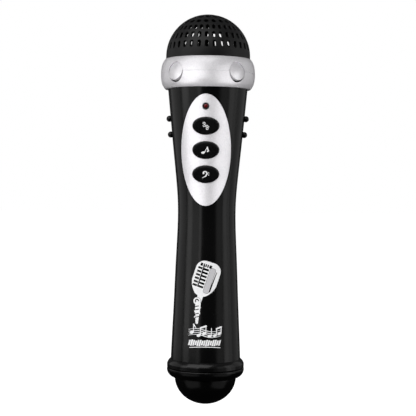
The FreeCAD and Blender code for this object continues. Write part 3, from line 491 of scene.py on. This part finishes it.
def finishes():
    """The material of every slot, by the slot's name."""
    s = settings().finish
    return {
        "black_gloss_plastic": lambda n: polished_moulding(n, s.shell, s.shell_roughness),
        "black_grille_plastic": lambda n: satin_moulding(n, s.grille, s.grille_roughness),
        "black_inner_plastic": lambda n: satin_moulding(n, (0.02, 0.02, 0.021), 0.5, 0.3 * MM, 0.02 * MM),
        "black_button_plastic": lambda n: satin_moulding(n, s.button, 0.24, 0.16 * MM, 0.004 * MM),
        "silver_plastic": lambda n: silver_lacquer(n, s.silver, s.silver_roughness),
        "grey_silicone": lambda n: rubber(n, (0.33, 0.34, 0.35), 0.5, 0.2 * MM, 0.006 * MM),
        "black_rubber": lambda n: rubber(n, (0.02, 0.02, 0.02), 0.7, 0.3 * MM, 0.05 * MM),
        "carbon_pill": lambda n: rubber(n, (0.008, 0.008, 0.008), 0.6, 0.12 * MM, 0.01 * MM),
        "red_lamp": lambda n: clear_lamp(n, s.lamp),
        "circuit_laminate": lambda n: circuit_laminate(n, (0.42, 0.27, 0.12)),
        "black_resin": lambda n: rough_solid(n, (0.012, 0.012, 0.012), 0.25, 0.25 * MM, 0.01 * MM),
        "capacitor_sleeve": lambda n: wire_sleeve(n, (0.012, 0.022, 0.085)),
        "zinc_screws": lambda n: bare_metal(n, (0.62, 0.62, 0.60), 0.26, (1.0, 0.15, 1.0)),
        "pressed_steel": lambda n: rough_solid(n, (0.05, 0.05, 0.052), 0.38, 0.5 * MM, 0.012 * MM, 0.4),
        "ferrite": lambda n: rough_solid(n, (0.045, 0.043, 0.042), 0.62, 0.2 * MM, 0.02 * MM),
        "speaker_paper": lambda n: pressed_paper(n, (0.022, 0.021, 0.021)),
        "copper": lambda n: coil_winding(n, (0.62, 0.26, 0.11)),
        "tinned_wire": lambda n: bare_metal(n, (0.68, 0.66, 0.62), 0.22),
        "cell_sleeve": lambda n: printed_sleeve(n, s.sleeve),
        "red_wire_sleeve": lambda n: wire_sleeve(n, (0.42, 0.012, 0.012)),
        "black_wire_sleeve": lambda n: wire_sleeve(n, (0.014, 0.014, 0.014)),
    }


def dress(*slots):
    """Gives every part of these slots its finish."""
    makers = finishes()
    for slot in slots:
        material = makers[slot](slot)
        for node, its_slot in SLOT_OF.items():
            if its_slot == slot:
                mesh = frame["nodes"][node].data
                mesh.materials.clear()
                mesh.materials.append(material)


# ---- ink: flat shapes as signed distances, in millimetres ---------------------------------------------
def disc(u, v, x, y, r):
    return np.hypot(u - x, v - y) - r


def oval(u, v, x, y, half_width, half_height, turn=0.0):
    c, s = math.cos(turn), math.sin(turn)
    along, across = (u - x) * c + (v - y) * s, (v - y) * c - (u - x) * s
    return (np.hypot(along / half_width, across / half_height) - 1.0) * min(half_width, half_height)


def stroke(u, v, a, b, r_a, r_b=None):
    """Round-ended stroke from a to b, whose half width goes from r_a to r_b."""
    r_b = r_a if r_b is None else r_b
    dx, dy = b[0] - a[0], b[1] - a[1]
    t = np.clip(((u - a[0]) * dx + (v - a[1]) * dy) / (dx * dx + dy * dy), 0, 1)
    return np.hypot(u - a[0] - t * dx, v - a[1] - t * dy) - (r_a + t * (r_b - r_a))


def path(u, v, points, r):
    return join(*[stroke(u, v, a, b, r) for a, b in zip(points, points[1:])])


def bow(u, v, x, y, r, start, end, half_width):
    """Part of a ring, from angle start to angle end in degrees."""
    steps = 14
    turns = [math.radians(start + (end - start) * i / steps) for i in range(steps + 1)]
    return path(u, v, [(x + r * math.cos(t), y + r * math.sin(t)) for t in turns], half_width)


def slab(u, v, x, y, half_width, half_height, corner=0.0):
    dx = np.abs(u - x) - half_width + corner
    dy = np.abs(v - y) - half_height + corner
    return np.hypot(np.maximum(dx, 0), np.maximum(dy, 0)) + np.minimum(np.maximum(dx, dy), 0) - corner


def beyond(u, v, x, y, angle):
    """Distance past the line through (x, y) whose outward direction is angle, in degrees."""
    a = math.radians(angle)
    return (u - x) * math.cos(a) + (v - y) * math.sin(a)


def join(*shapes):
    return np.minimum.reduce(shapes)


def cut(shape, *holes):
    return np.maximum.reduce([shape] + [-h for h in holes])


def within(*shapes):
    return np.maximum.reduce(shapes)


def outline_mesh(field, low, high, step):
    """Faces of the region where field is negative, each cell clipped to its outline.

    Returns flat points and faces that wind anticlockwise.
    """
    us = np.arange(low[0], high[0] + step, step)
    vs = np.arange(low[1], high[1] + step, step)
    values = field(*np.meshgrid(us, vs, indexing="ij"))
    inside = values < 0
    near = inside[:-1, :-1] | inside[1:, :-1] | inside[1:, 1:] | inside[:-1, 1:]
    points, index, faces = [], {}, []

    def point(key, u, v):
        if key not in index:
            index[key] = len(points)
            points.append((u, v))
        return index[key]

    for i, j in np.argwhere(near):
        corners = [(i, j), (i + 1, j), (i + 1, j + 1), (i, j + 1)]
        face = []
        for a, b in zip(corners, corners[1:] + corners[:1]):
            value_a, value_b = values[a], values[b]
            if value_a < 0:
                face.append(point(a, us[a[0]], vs[a[1]]))
            if (value_a < 0) != (value_b < 0):
                share_b = min(0.92, max(0.08, value_a / (value_a - value_b)))
                if a > b:
                    a, b, share_b = b, a, 1 - share_b
                u = us[a[0]] + (us[b[0]] - us[a[0]]) * share_b
                v = vs[a[1]] + (vs[b[1]] - vs[a[1]]) * share_b
                face.append(point((a, b), u, v))
        faces.append(face)
    return points, faces


def lay_ink(name, field, low, high, cast, body, material):
    """A thin raised film of ink: field's shape, laid on the surface that cast finds."""
    s = settings().printing
    points, faces = outline_mesh(field, low, high, s.grid / MM)
    sunk = 0.03 * MM
    hits = [cast(u * MM, v * MM) for u, v in points]
    top = [place + normal * s.thickness for place, normal in hits]
    bottom = [place - normal * sunk for place, normal in hits]
    count = len(points)
    rim = {}
    for face in faces:
        for a, b in zip(face, face[1:] + face[:1]):
            rim[(a, b)] = (b, a) not in rim
            if not rim[(a, b)]:
                rim[(b, a)] = False
    sides = [(b, a, a + count, b + count) for (a, b), lone in rim.items() if lone]
    under = [tuple(i + count for i in reversed(face)) for face in faces]
    mesh = bpy.data.meshes.new(name)
    mesh.from_pydata(top + bottom, [], faces + under + sides)
    mesh.shade_smooth()
    mesh.set_sharp_from_angle(angle=math.radians(40))
    mesh.materials.append(material)
    piece = bpy.data.objects.new(name, mesh)
    bpy.context.scene.collection.objects.link(piece)
    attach(piece, body)
    return piece


def caster(node, centre, inward, right, up):
    """A function that drops a flat point onto the outside of a part and returns the place and its normal."""
    mesh = frame["nodes"][node].data
    tree = BVHTree.FromPolygons([v.co for v in mesh.vertices], [p.vertices for p in mesh.polygons])
    back_off = 0.05

    def cast(u, v):
        start = centre + right * u + up * v - inward * back_off
        place, normal, _, _ = tree.ray_cast(start, inward)
        if place is None:
            raise RuntimeError(f"the ink at {u}, {v} misses {node}")
        return place, normal if normal.dot(inward) < 0 else -normal

    return cast


# ---- the printed picture and signs --------------------------------------------------------------------
HEAD_HALF = (6.2, 8.6)         # half width and half height of the drawn head, mm
SLAT_STEP = 1.75               # distance between the drawn slats, mm
SLAT_ROWS = 6
PIVOT = (-3.7, 53.2)           # of the drawn stem's joint: right of the axis and above the base, mm


def leaning(u, v, centre, tilt):
    """The same point in the drawn head's own axes."""
    c, s = math.cos(tilt), math.sin(tilt)
    du, dv = u - centre[0], v - centre[1]
    return du * c - dv * s, du * s + dv * c


def head_outline(a, b):
    """A tall rounded head that narrows smoothly towards its foot."""
    drop = np.clip((-1.5 - b) / 7.0, 0, 1)
    return slab(a / (1 - 0.30 * drop * drop * (3 - 2 * drop)), b, 0.0, 0.0, *HEAD_HALF, 4.4)


def head_band(a, b):
    """The plain band right of the drawn slats, printed in grey."""
    return within(head_outline(a, b) + 1.0, slab(a, b, 2.2, -0.3, 1.35, 6.2, 0.9))


def picture(u, v, centre, tilt):
    """Drawing of an old stage microphone that leans on a short jointed stem."""
    a, b = leaning(u, v, centre, tilt)
    slats = []
    for i in range(SLAT_ROWS):
        y = -4.3 + SLAT_STEP * i
        slats.append(slab(a, b, -4.05, y, 1.1, 0.52, 0.1))
        slats.append(slab(a, b, -1.0, y, 1.35, 0.52, 0.1))
    spine = slab(a, b, -2.5, 0.8, 0.3, 5.6)
    ribs = [slab(a, b, x, 6.3, 0.16, 1.0) for x in (-3.2, -2.2, -1.2, -0.2)]
    crown = cut(slab(a, b, -1.6, 6.3, 2.9, 0.75, 0.3), *ribs)
    slit = stroke(a, b, (4.3, 4.6), (3.9, -5.2), 0.18, 0.34)
    head = cut(head_outline(a, b), *slats, spine, crown, slit, head_band(a, b) - 0.15)
    neck = stroke(u, v, (-1.9, 56.3), (-2.9, 52.6), 1.5, 1.1)
    joint = cut(disc(u, v, *PIVOT, 1.75), disc(u, v, *PIVOT, 1.05))
    pivot = disc(u, v, *PIVOT, 0.5)
    upper_stem = stroke(u, v, (-3.2, 51.8), (-3.5, 47.2), 1.35, 1.1)
    lower_stem = stroke(u, v, (-3.5, 46.6), (-3.7, 42.6), 0.95, 0.6)
    notches = [stroke(u, v, (-4.6, z), (-2.9, z + 0.4), 0.22) for z in (50.4, 48.8, 46.8, 45.2)]
    barb_places = ((-2.6, 50.0), (-4.2, 48.2), (-2.9, 47.3), (-4.3, 45.4))
    barbs = [slab(u, v, x, z, 0.75, 0.45, 0.1) for x, z in barb_places]
    top = cut(join(head, cut(neck, disc(u, v, *PIVOT, 1.9))), slit)
    stem = cut(join(upper_stem, lower_stem, *barbs), *notches)
    return join(top, joint, pivot, stem)


def note(u, v, x, y, size, flag=True):
    """A single note with its stem and flag."""
    head = oval(u, v, x, y, 0.72 * size, 0.5 * size, 0.4)
    top = (x + 0.62 * size, y + 2.7 * size)
    parts = [head, stroke(u, v, (x + 0.58 * size, y + 0.1), top, 0.13 * size)]
    if flag:
        parts.append(stroke(u, v, top, (top[0] + 0.8 * size, top[1] - 1.1 * size), 0.24 * size, 0.08 * size))
    return join(*parts)


def note_pair(u, v, x, y, size, gap):
    """Two notes joined by a slanting beam."""
    tops = [(x + 0.6 * size, y + 2.5 * size), (x + gap + 0.6 * size, y + 3.1 * size)]
    places = [(x, y), (x + gap, y + 0.6 * size)]
    heads = [oval(u, v, *place, 0.75 * size, 0.5 * size, 0.45) for place in places]
    stems = [stroke(u, v, (top[0] - 0.02, top[1] - 2.4 * size), top, 0.14 * size) for top in tops]
    return join(*heads, *stems, stroke(u, v, tops[0], tops[1], 0.3 * size))


def ornament(u, v, middle):
    """Waving stave with notes on it, above a row of level bars and an underline."""
    wave = middle + 1.4 + 0.75 * np.sin((u + 8.0) / 16.0 * TURN)
    swell = 0.13 + 0.05 * np.cos(u / 16.0 * TURN)
    ends = np.abs(u - 0.2) - 8.0
    stave = [within(np.abs(v - wave - k * 0.95) - swell, ends) for k in (-1.5, -0.5, 0.5, 1.5)]
    notes = [
        note(u, v, -6.1, middle + 1.6, 1.45), note_pair(u, v, -2.6, middle + 0.3, 1.45, 2.6),
        note(u, v, 2.7, middle - 0.1, 1.4, False), note_pair(u, v, 5.2, middle + 0.2, 1.3, 2.2),
    ]
    lean = 0.25
    bars = []
    for i in range(15):
        x = -7.2 + 1.05 * i
        half = 1.0 + 0.55 * abs(math.sin(0.9 * i + 0.6))
        a = u - lean * (v - middle + 3.45)
        bars.append(slab(a, v, x, middle - 3.45, 0.4, half, 0.12))
    underline = within(np.abs(v - (middle - 5.4) + 0.008 * (u - 0.3) ** 2) - 0.17, np.abs(u - 0.3) - 7.6)
    return join(*stave, *notes, *bars, underline)


def curls(u, v):
    """Two small curls at the upper left and two at the lower right."""
    shapes = [
        bow(u, v, -0.75, 1.30, 0.50, -60, 200, 0.15), bow(u, v, -0.70, 0.25, 0.52, -180, 110, 0.15),
        bow(u, v, 0.65, -0.15, 0.50, -30, 240, 0.15), bow(u, v, 0.75, -1.20, 0.50, -200, 120, 0.15),
        disc(u, v, 1.55, -0.45, 0.22), disc(u, v, -1.25, 1.15, 0.20),
    ]
    return join(*shapes)


def leaning_notes(u, v):
    """A note with a round head whose wide flag leans to the right."""
    head = oval(u, v, -1.15, -1.15, 0.95, 0.55, 0.3)
    stem = stroke(u, v, (-0.45, -1.0), (0.85, 1.55), 0.17)
    flag = [
        stroke(u, v, (0.85, 1.55), (1.35, -0.35), 0.22, 0.34),
        stroke(u, v, (1.35, -0.35), (0.75, -0.75), 0.3, 0.2),
    ]
    return join(head, stem, *flag)


def low_clef(u, v):
    """A clef for low notes: a dot, a tapering hook and two points."""
    hook = [
        stroke(u, v, (0.75, 0.35), (0.2, -0.75), 0.36, 0.26),
        stroke(u, v, (0.2, -0.75), (-1.6, -1.75), 0.26, 0.1),
    ]
    dots = [disc(u, v, 1.55, 0.75, 0.24), disc(u, v, 1.5, -0.25, 0.24)]
    return join(disc(u, v, -0.95, 0.55, 0.42), bow(u, v, -0.2, 0.55, 0.9, 165, 0, 0.27), *hook, *dots)


# ---- operators ----------------------------------------------------------------------------------------
class TOYMIC_OT_shells(bpy.types.Operator):
    """Polishes the handle shells, battery door, end ring, end cap and side studs"""
    bl_idname = "toymic.shells"
    bl_label = "Shells"

    def execute(self, context):
        dress("black_gloss_plastic")
        return {"FINISHED"}


class TOYMIC_OT_head(bpy.types.Operator):
    """Gives the dome its satin moulding and the collar, studs and panel their silver lacquer"""
    bl_idname = "toymic.head"
    bl_label = "Dome and silver trim"

    def execute(self, context):
        dress("black_grille_plastic", "silver_plastic")
        return {"FINISHED"}


class TOYMIC_OT_controls(bpy.types.Operator):
    """Finishes the buttons, their rubber keypad and contact discs, and the lamp"""
    bl_idname = "toymic.controls"
    bl_label = "Buttons and lamp"

    def execute(self, context):
        dress("black_button_plastic", "grey_silicone", "carbon_pill", "red_lamp")
        return {"FINISHED"}


SKIRT_SIDES = 64
SKIRT_BOW = 0.12 * MM          # how far the skirt's wall curves in from a straight cone
SKIRT_WALL = 0.6 * MM
SKIRT_TOP = 1.05 * MM          # thickness of the flat top
SKIRT_EASE = 1.03              # factor on the button's travel, which no shape of the skirt uses


def skirt_profile(height, r_top, r_base):
    """Half of the skirt's section, as depth and radius, from the axis at the top round to the axis inside."""
    steps = 10

    def wall(depth, inset):
        share_down = depth / height
        cone = r_top + (r_base - r_top) * share_down
        return depth, cone - SKIRT_BOW * math.sin(math.pi * share_down) - inset

    outside = [wall(height * (0.06 + 0.94 * i / steps), 0.0) for i in range(steps + 1)]
    inside = [wall(height + (SKIRT_TOP - height) * i / steps, SKIRT_WALL) for i in range(steps + 1)]
    return [(0.0, 0.0), (0.0, r_top * 0.9), *outside, *inside, (SKIRT_TOP, 0.0)]


def turned(name, centre, axis, profile, sides):
    """A closed solid of revolution about axis, from a section that starts and ends on it."""
    across = axis.orthogonal().normalized()
    beside = axis.cross(across)
    points = [centre + axis * profile[0][0], centre + axis * profile[-1][0]]
    rings = profile[1:-1]
    for depth, radius in rings:
        for i in range(sides):
            turn = TURN * i / sides
            spoke = across * math.cos(turn) + beside * math.sin(turn)
            points.append(centre + axis * depth + spoke * radius)
    faces = []
    for i in range(sides):
        j = (i + 1) % sides
        faces.append((0, 2 + j, 2 + i))
        last = 2 + sides * (len(rings) - 1)
        faces.append((1, last + i, last + j))
        for k in range(len(rings) - 1):
            a, b = 2 + sides * k, 2 + sides * (k + 1)
            faces.append((a + i, a + j, b + j, b + i))
    mesh = bpy.data.meshes.new(name)
    mesh.from_pydata(points, [], faces)
    mesh.shade_smooth()
    mesh.set_sharp_from_angle(angle=math.radians(40))
    piece = bpy.data.objects.new(name, mesh)
    bpy.context.scene.collection.objects.link(piece)
    return piece


class TOYMIC_OT_skirts(bpy.types.Operator):
    """Adds the soft rubber skirt under each push-button"""
    bl_idname = "toymic.skirts"
    bl_label = "Button skirts"

    def execute(self, context):
        for joint in frame["joints"]:
            place = joint["name"].split("_")[0]
            if place in BUTTONS:
                self.skirt(place, place + "_dome_spring", joint)
        return {"FINISHED"}

    @staticmethod
    def skirt(place, node, joint):
        inward = Vector(joint["axis"]).normalized()
        upward = RIGHT.cross(inward)
        cloud = [v.co for v in frame["nodes"][node].data.vertices]
        near = min(p.dot(inward) for p in cloud)
        far = max(p.dot(inward) for p in cloud)
        rims = [[p.dot(upward) for p in cloud if abs(p.dot(inward) - end) < SKIN] for end in (near, far)]
        middle = (min(rims[0]) + max(rims[0])) / 2
        r_top, r_base = [(max(rim) - min(rim)) / 2 for rim in rims]
        centre = inward * near + upward * middle
        height = far - near
        piece = turned(place + "_skirt", centre, inward, skirt_profile(height, r_top, r_base), SKIRT_SIDES)
        piece.data.materials.append(bpy.data.materials["grey_silicone"])
        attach(piece, "handle")
        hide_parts(node)
        travel = joint["range_m"][1] * SKIRT_EASE
        tuple(centre + inward * height)
        1 - travel / height
        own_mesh(piece)


class TOYMIC_OT_loudspeaker(bpy.types.Operator):
    """Finishes the loudspeaker: basket, magnet, coil, cone and edge roll"""
    bl_idname = "toymic.loudspeaker"
    bl_label = "Loudspeaker"

    def execute(self, context):
        dress("pressed_steel", "ferrite", "speaker_paper", "black_rubber", "copper")
        return {"FINISHED"}


class TOYMIC_OT_circuit(bpy.types.Operator):
    """Finishes the circuit board, its components and the leads"""
    bl_idname = "toymic.circuit"
    bl_label = "Circuit and leads"

    def execute(self, context):
        dress("circuit_laminate", "black_resin", "capacitor_sleeve", "red_wire_sleeve", "black_wire_sleeve")
        return {"FINISHED"}


class TOYMIC_OT_cells(bpy.types.Operator):
    """Finishes the cells, their tray, contacts and springs, and every screw"""
    bl_idname = "toymic.cells"
    bl_label = "Cells and screws"

    def execute(self, context):
        dress("cell_sleeve", "black_inner_plastic", "tinned_wire", "zinc_screws")
        return {"FINISHED"}


class TOYMIC_OT_print(bpy.types.Operator):
    """Prints the picture and the ornament on the front of the handle"""
    bl_idname = "toymic.print"
    bl_label = "Handle print"

    def execute(self, context):
        s = settings().printing
        cast = caster("front_shell", Vector((0, 0, 0)), Vector((0, 1, 0)), RIGHT, UP)
        white = white_ink("white_ink", s.ink)
        grey = white_ink("grey_ink", s.shade)
        centre = (0.3, s.picture_height / MM)
        tilt = s.picture_tilt
        middle = s.ornament_height / MM
        shapes = {
            # name: signed distance, lowest and highest corner in mm, ink
            "print_picture": (lambda u, v: picture(u, v, centre, tilt), (-8, 41.5), (9, 74), white),
            "print_picture_band": (
                lambda u, v: head_band(*leaning(u, v, centre, tilt)), (-8, 54), (9, 74), grey),
            "print_ornament": (
                lambda u, v: ornament(u, v, middle), (-9, middle - 7), (9.5, middle + 9), white),
        }
        for name, (field, low, high, material) in shapes.items():
            lay_ink(name, field, low, high, cast, "handle", material)
        return {"FINISHED"}


class TOYMIC_OT_icons(bpy.types.Operator):
    """Prints a sign on each push-button"""
    bl_idname = "toymic.icons"
    bl_label = "Button signs"

    def execute(self, context):
        ink = white_ink("sign_ink", settings().printing.ink)
        fields = {"upper": curls, "middle": leaning_notes, "lower": low_clef}
        for joint in frame["joints"]:
            place = joint["name"].split("_")[0]
            if place not in fields:
                continue
            node = place + "_button"
            low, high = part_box(node)
            inward = Vector(joint["axis"]).normalized()
            front = self.front_of(node, inward)
            face = [v.co for v in frame["nodes"][node].data.vertices if v.co.dot(inward) < front]
            middle = sum(face, Vector()) / len(face)
            centre = Vector(((low.x + high.x) / 2, middle.y, middle.z))
            cast = caster(node, centre, inward, RIGHT, RIGHT.cross(inward))
            lay_ink(place + "_sign", fields[place], (-2.6, -2.6), (2.8, 2.8), cast, node,
                    ink)
        return {"FINISHED"}

    @staticmethod
    def front_of(node, inward):
        """Distance along inward that only the flat front of the button is nearer than."""
        return min(v.co.dot(inward) for v in frame["nodes"][node].data.vertices) + SKIN


class TOYMIC_OT_door_mark(bpy.types.Operator):
    """Adds a moulded arrow to the battery door, under its grip grooves"""
    bl_idname = "toymic.door_mark"
    bl_label = "Door arrow"

    def execute(self, context):
        low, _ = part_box("battery_door")
        cast = caster("battery_door", Vector((0, 0, low.z)), Vector((0, -1, 0)), -RIGHT, UP)
        material = bpy.data.materials["black_gloss_plastic"]
        lay_ink("door_arrow", self.arrow, (-3.5, 17.0), (3.5, 27.0), cast, "battery_door",
                material)
        return {"FINISHED"}

    @staticmethod
    def arrow(u, v):
        """A plain arrow that points down, the way the door comes off."""
        head = within(beyond(u, v, 0, 19.0, -45), beyond(u, v, 0, 19.0, 225), v - 21.6)
        return join(head, slab(u, v, 0, 23.2, 0.8, 2.0, 0.1))


SIDE_LIGHTS = {
    # name: turn from the camera and angular width in degrees, radiance as a share of the side setting,
    # lowest and highest point
    "left_strip": (-25, 9, 0.95, -0.05, 0.95),
    "left_fill": (-43, 24, 0.50, -0.05, 0.95),
    "left_box": (-69, 24, 0.95, -0.08, 0.95),
    "left_back": (-112, 50, 0.34, -0.12, 0.90),
    "right_fill": (49, 24, 0.27, -0.15, 0.90),
    "right_box": (75, 20, 0.68, -0.20, 0.95),
    "right_edge": (93, 14, 0.46, -0.20, 0.90),
    "right_back": (122, 40, 0.24, -0.15, 0.90),
    "low_left": (-52, 60, 0.20, -0.95, -0.20),
    "low_right": (56, 60, 0.18, -0.95, -0.20),
}
TRIM_LIGHTS = {
    # the same, for the lights that only the silver trim and the ink receive
    "trim_left": (-33, 62, 1.60, -0.25, 0.50),
    "trim_right": (48, 54, 1.20, -0.25, 0.50),
    "trim_low_left": (-54, 56, 1.90, -0.95, -0.25),
    "trim_low_right": (58, 56, 1.80, -0.95, -0.25),
}
CAMERA_TURN = 2.6              # degrees to the right of the front
CAMERA_ROLL = 0.51             # degrees
AIM = Vector((0.0006, 0, 0.0984))
LIGHT_DISTANCE = 1.1


def toward(turn, rise=0.0):
    """Unit vector from the object at an angle from the front, in degrees, to the right and up."""
    a, e = math.radians(turn), math.radians(rise)
    return Vector((math.sin(a) * math.cos(e), -math.cos(a) * math.cos(e), math.sin(e)))


class TOYMIC_OT_stage(bpy.types.Operator):
    """Adds the camera, the soft lights, the room's tone and the pale floor"""
    bl_idname = "toymic.stage"
    bl_label = "Stage"

    def execute(self, context):
        self.camera()
        self.lights()
        self.room()
        self.floor()
        bpy.context.scene.view_settings.view_transform = "Standard"
        return {"FINISHED"}

    def camera(self):
        s = settings().stage
        data = bpy.data.cameras.new("camera")
        data.lens = s.lens
        camera = bpy.data.objects.new("camera", data)
        bpy.context.scene.collection.objects.link(camera)
        camera.location = toward(CAMERA_TURN) * s.camera_distance + UP * s.camera_height
        gaze = (AIM - camera.location).to_track_quat("-Z", "Y")
        camera.rotation_mode = "QUATERNION"
        camera.rotation_quaternion = gaze @ Quaternion((0, 0, 1), math.radians(CAMERA_ROLL))
        bpy.context.scene.camera = camera

    def softbox(self, name, place, target, width, height, radiance):
        data = bpy.data.lights.new(name, "AREA")
        data.shape = "RECTANGLE"
        data.size = width
        data.size_y = height
        data.energy = radiance * math.pi * width * height
        lamp = bpy.data.objects.new(name, data)
        bpy.context.scene.collection.objects.link(lamp)
        lamp.location = place
        lamp.rotation_mode = "QUATERNION"
        lamp.rotation_quaternion = (target - place).to_track_quat("-Z", "Y")
        lamp.visible_camera = False
        return lamp

    def upright(self, name, turn, width, level, low, high):
        """A softbox that stands beside the object and faces its axis."""
        middle = UP * ((low + high) / 2)
        place = toward(turn + CAMERA_TURN) * LIGHT_DISTANCE + middle
        across = 2 * LIGHT_DISTANCE * math.tan(math.radians(width / 2))
        return self.softbox(name, place, middle, across, high - low, level * settings().stage.side)

    def lights(self):
        s = settings().stage
        for name, values in SIDE_LIGHTS.items():
            self.upright(name, *values)
        trim = self.trim()
        for name, values in TRIM_LIGHTS.items():
            self.upright(name, *values).light_linking.receiver_collection = trim
        self.softbox("key", toward(-24, 52) * LIGHT_DISTANCE + AIM, AIM, 1.3, 0.9, s.key)

    @staticmethod
    def trim():
        """Collection of the silver parts and the printed ink."""
        trim = bpy.data.collections.new("trim")
        for node, slot in SLOT_OF.items():
            if slot == "silver_plastic":
                trim.objects.link(frame["nodes"][node])
        for thing in bpy.context.scene.objects:
            if thing.name.startswith("print_") or thing.name.endswith("_sign"):
                trim.objects.link(thing)
        return trim

    def room(self):
        """White to the camera, and dim to everything else, darker below than above."""
        s = settings().stage
        world = bpy.data.worlds.new("room")
        world.use_nodes = True
        bpy.context.scene.world = world
        g = Graph(world.node_tree)
        direction = g.add("ShaderNodeTexCoord", None, None, 0)
        height = g.axis(direction, 2) * 0.5 + 0.5
        tone = g.ramp(height, (0.40, 0.05), (0.50, 0.30), (0.70, 0.50), (0.95, 1.0))
        dim = g.add("ShaderNodeBackground", None, {"Color": tone, "Strength": s.ambient * 3.0})
        white = g.add("ShaderNodeBackground", None, {"Color": (1, 1, 1, 1), "Strength": 1.0})
        seen = g.add("ShaderNodeLightPath")
        both = g.add("ShaderNodeMixShader", None, {0: seen, 1: dim, 2: white})
        out = g.tree.nodes.new("ShaderNodeOutputWorld")
        g.tree.links.new(both.socket, out.inputs["Surface"])

    def floor(self):
        s = settings().stage
        reach = 6.0
        corners = [(-reach, -reach), (reach, -reach), (reach, reach), (-reach, reach)]
        mesh = bpy.data.meshes.new("floor")
        mesh.from_pydata([(x, y, -s.floor_drop) for x, y in corners], [], [(0, 1, 2, 3)])
        f = Finish("pale_floor")
        mottle = f.noise(40 * MM, 3.0)
        f.surface(Base_Color=f.mix(mottle, s.floor, lighter(s.floor, 0.97)), Roughness=0.9,
                  Emission_Color=(1.0, 1.0, 1.0), Emission_Strength=0.94)
        mesh.materials.append(f.material)
        floor = bpy.data.objects.new("floor", mesh)
        bpy.context.scene.collection.objects.link(floor)
        floor.visible_glossy = False
        floor.visible_diffuse = False
        floor.visible_shadow = False


STEPS = (
    TOYMIC_OT_shells, TOYMIC_OT_head, TOYMIC_OT_controls, TOYMIC_OT_skirts, TOYMIC_OT_loudspeaker,
    TOYMIC_OT_circuit, TOYMIC_OT_cells, TOYMIC_OT_print, TOYMIC_OT_icons, TOYMIC_OT_door_mark, TOYMIC_OT_stage,
)


class TOYMIC_PT_panel(bpy.types.Panel):
    """Lists the settings and the steps that dress the microphone"""
    bl_label = "Toy microphone"
    bl_idname = "TOYMIC_PT_panel"
    bl_space_type = "VIEW_3D"
    bl_region_type = "UI"
    bl_category = "Toy microphone"

    def draw(self, context):
        layout = self.layout
        chosen = context.scene.toy_microphone
        for group in (chosen.finish, chosen.printing, chosen.stage):
            box = layout.box()
            for name in group.__annotations__:
                box.prop(group, name)
        for step in STEPS:
            layout.operator(step.bl_idname)


CLASSES = (FinishSettings, PrintSettings, StageSettings, MicrophoneSettings, *STEPS, TOYMIC_PT_panel)


def register():
    for cls in CLASSES:
        bpy.utils.register_class(cls)
    bpy.types.Scene.toy_microphone = PointerProperty(type=MicrophoneSettings)


def unregister():
    del bpy.types.Scene.toy_microphone
    for cls in reversed(CLASSES):
        bpy.utils.unregister_class(cls)


def main():
    register()
    for step in STEPS:
        group, name = step.bl_idname.split(".")
        getattr(getattr(bpy.ops, group), name)()


if __name__ == "__main__":
    main()
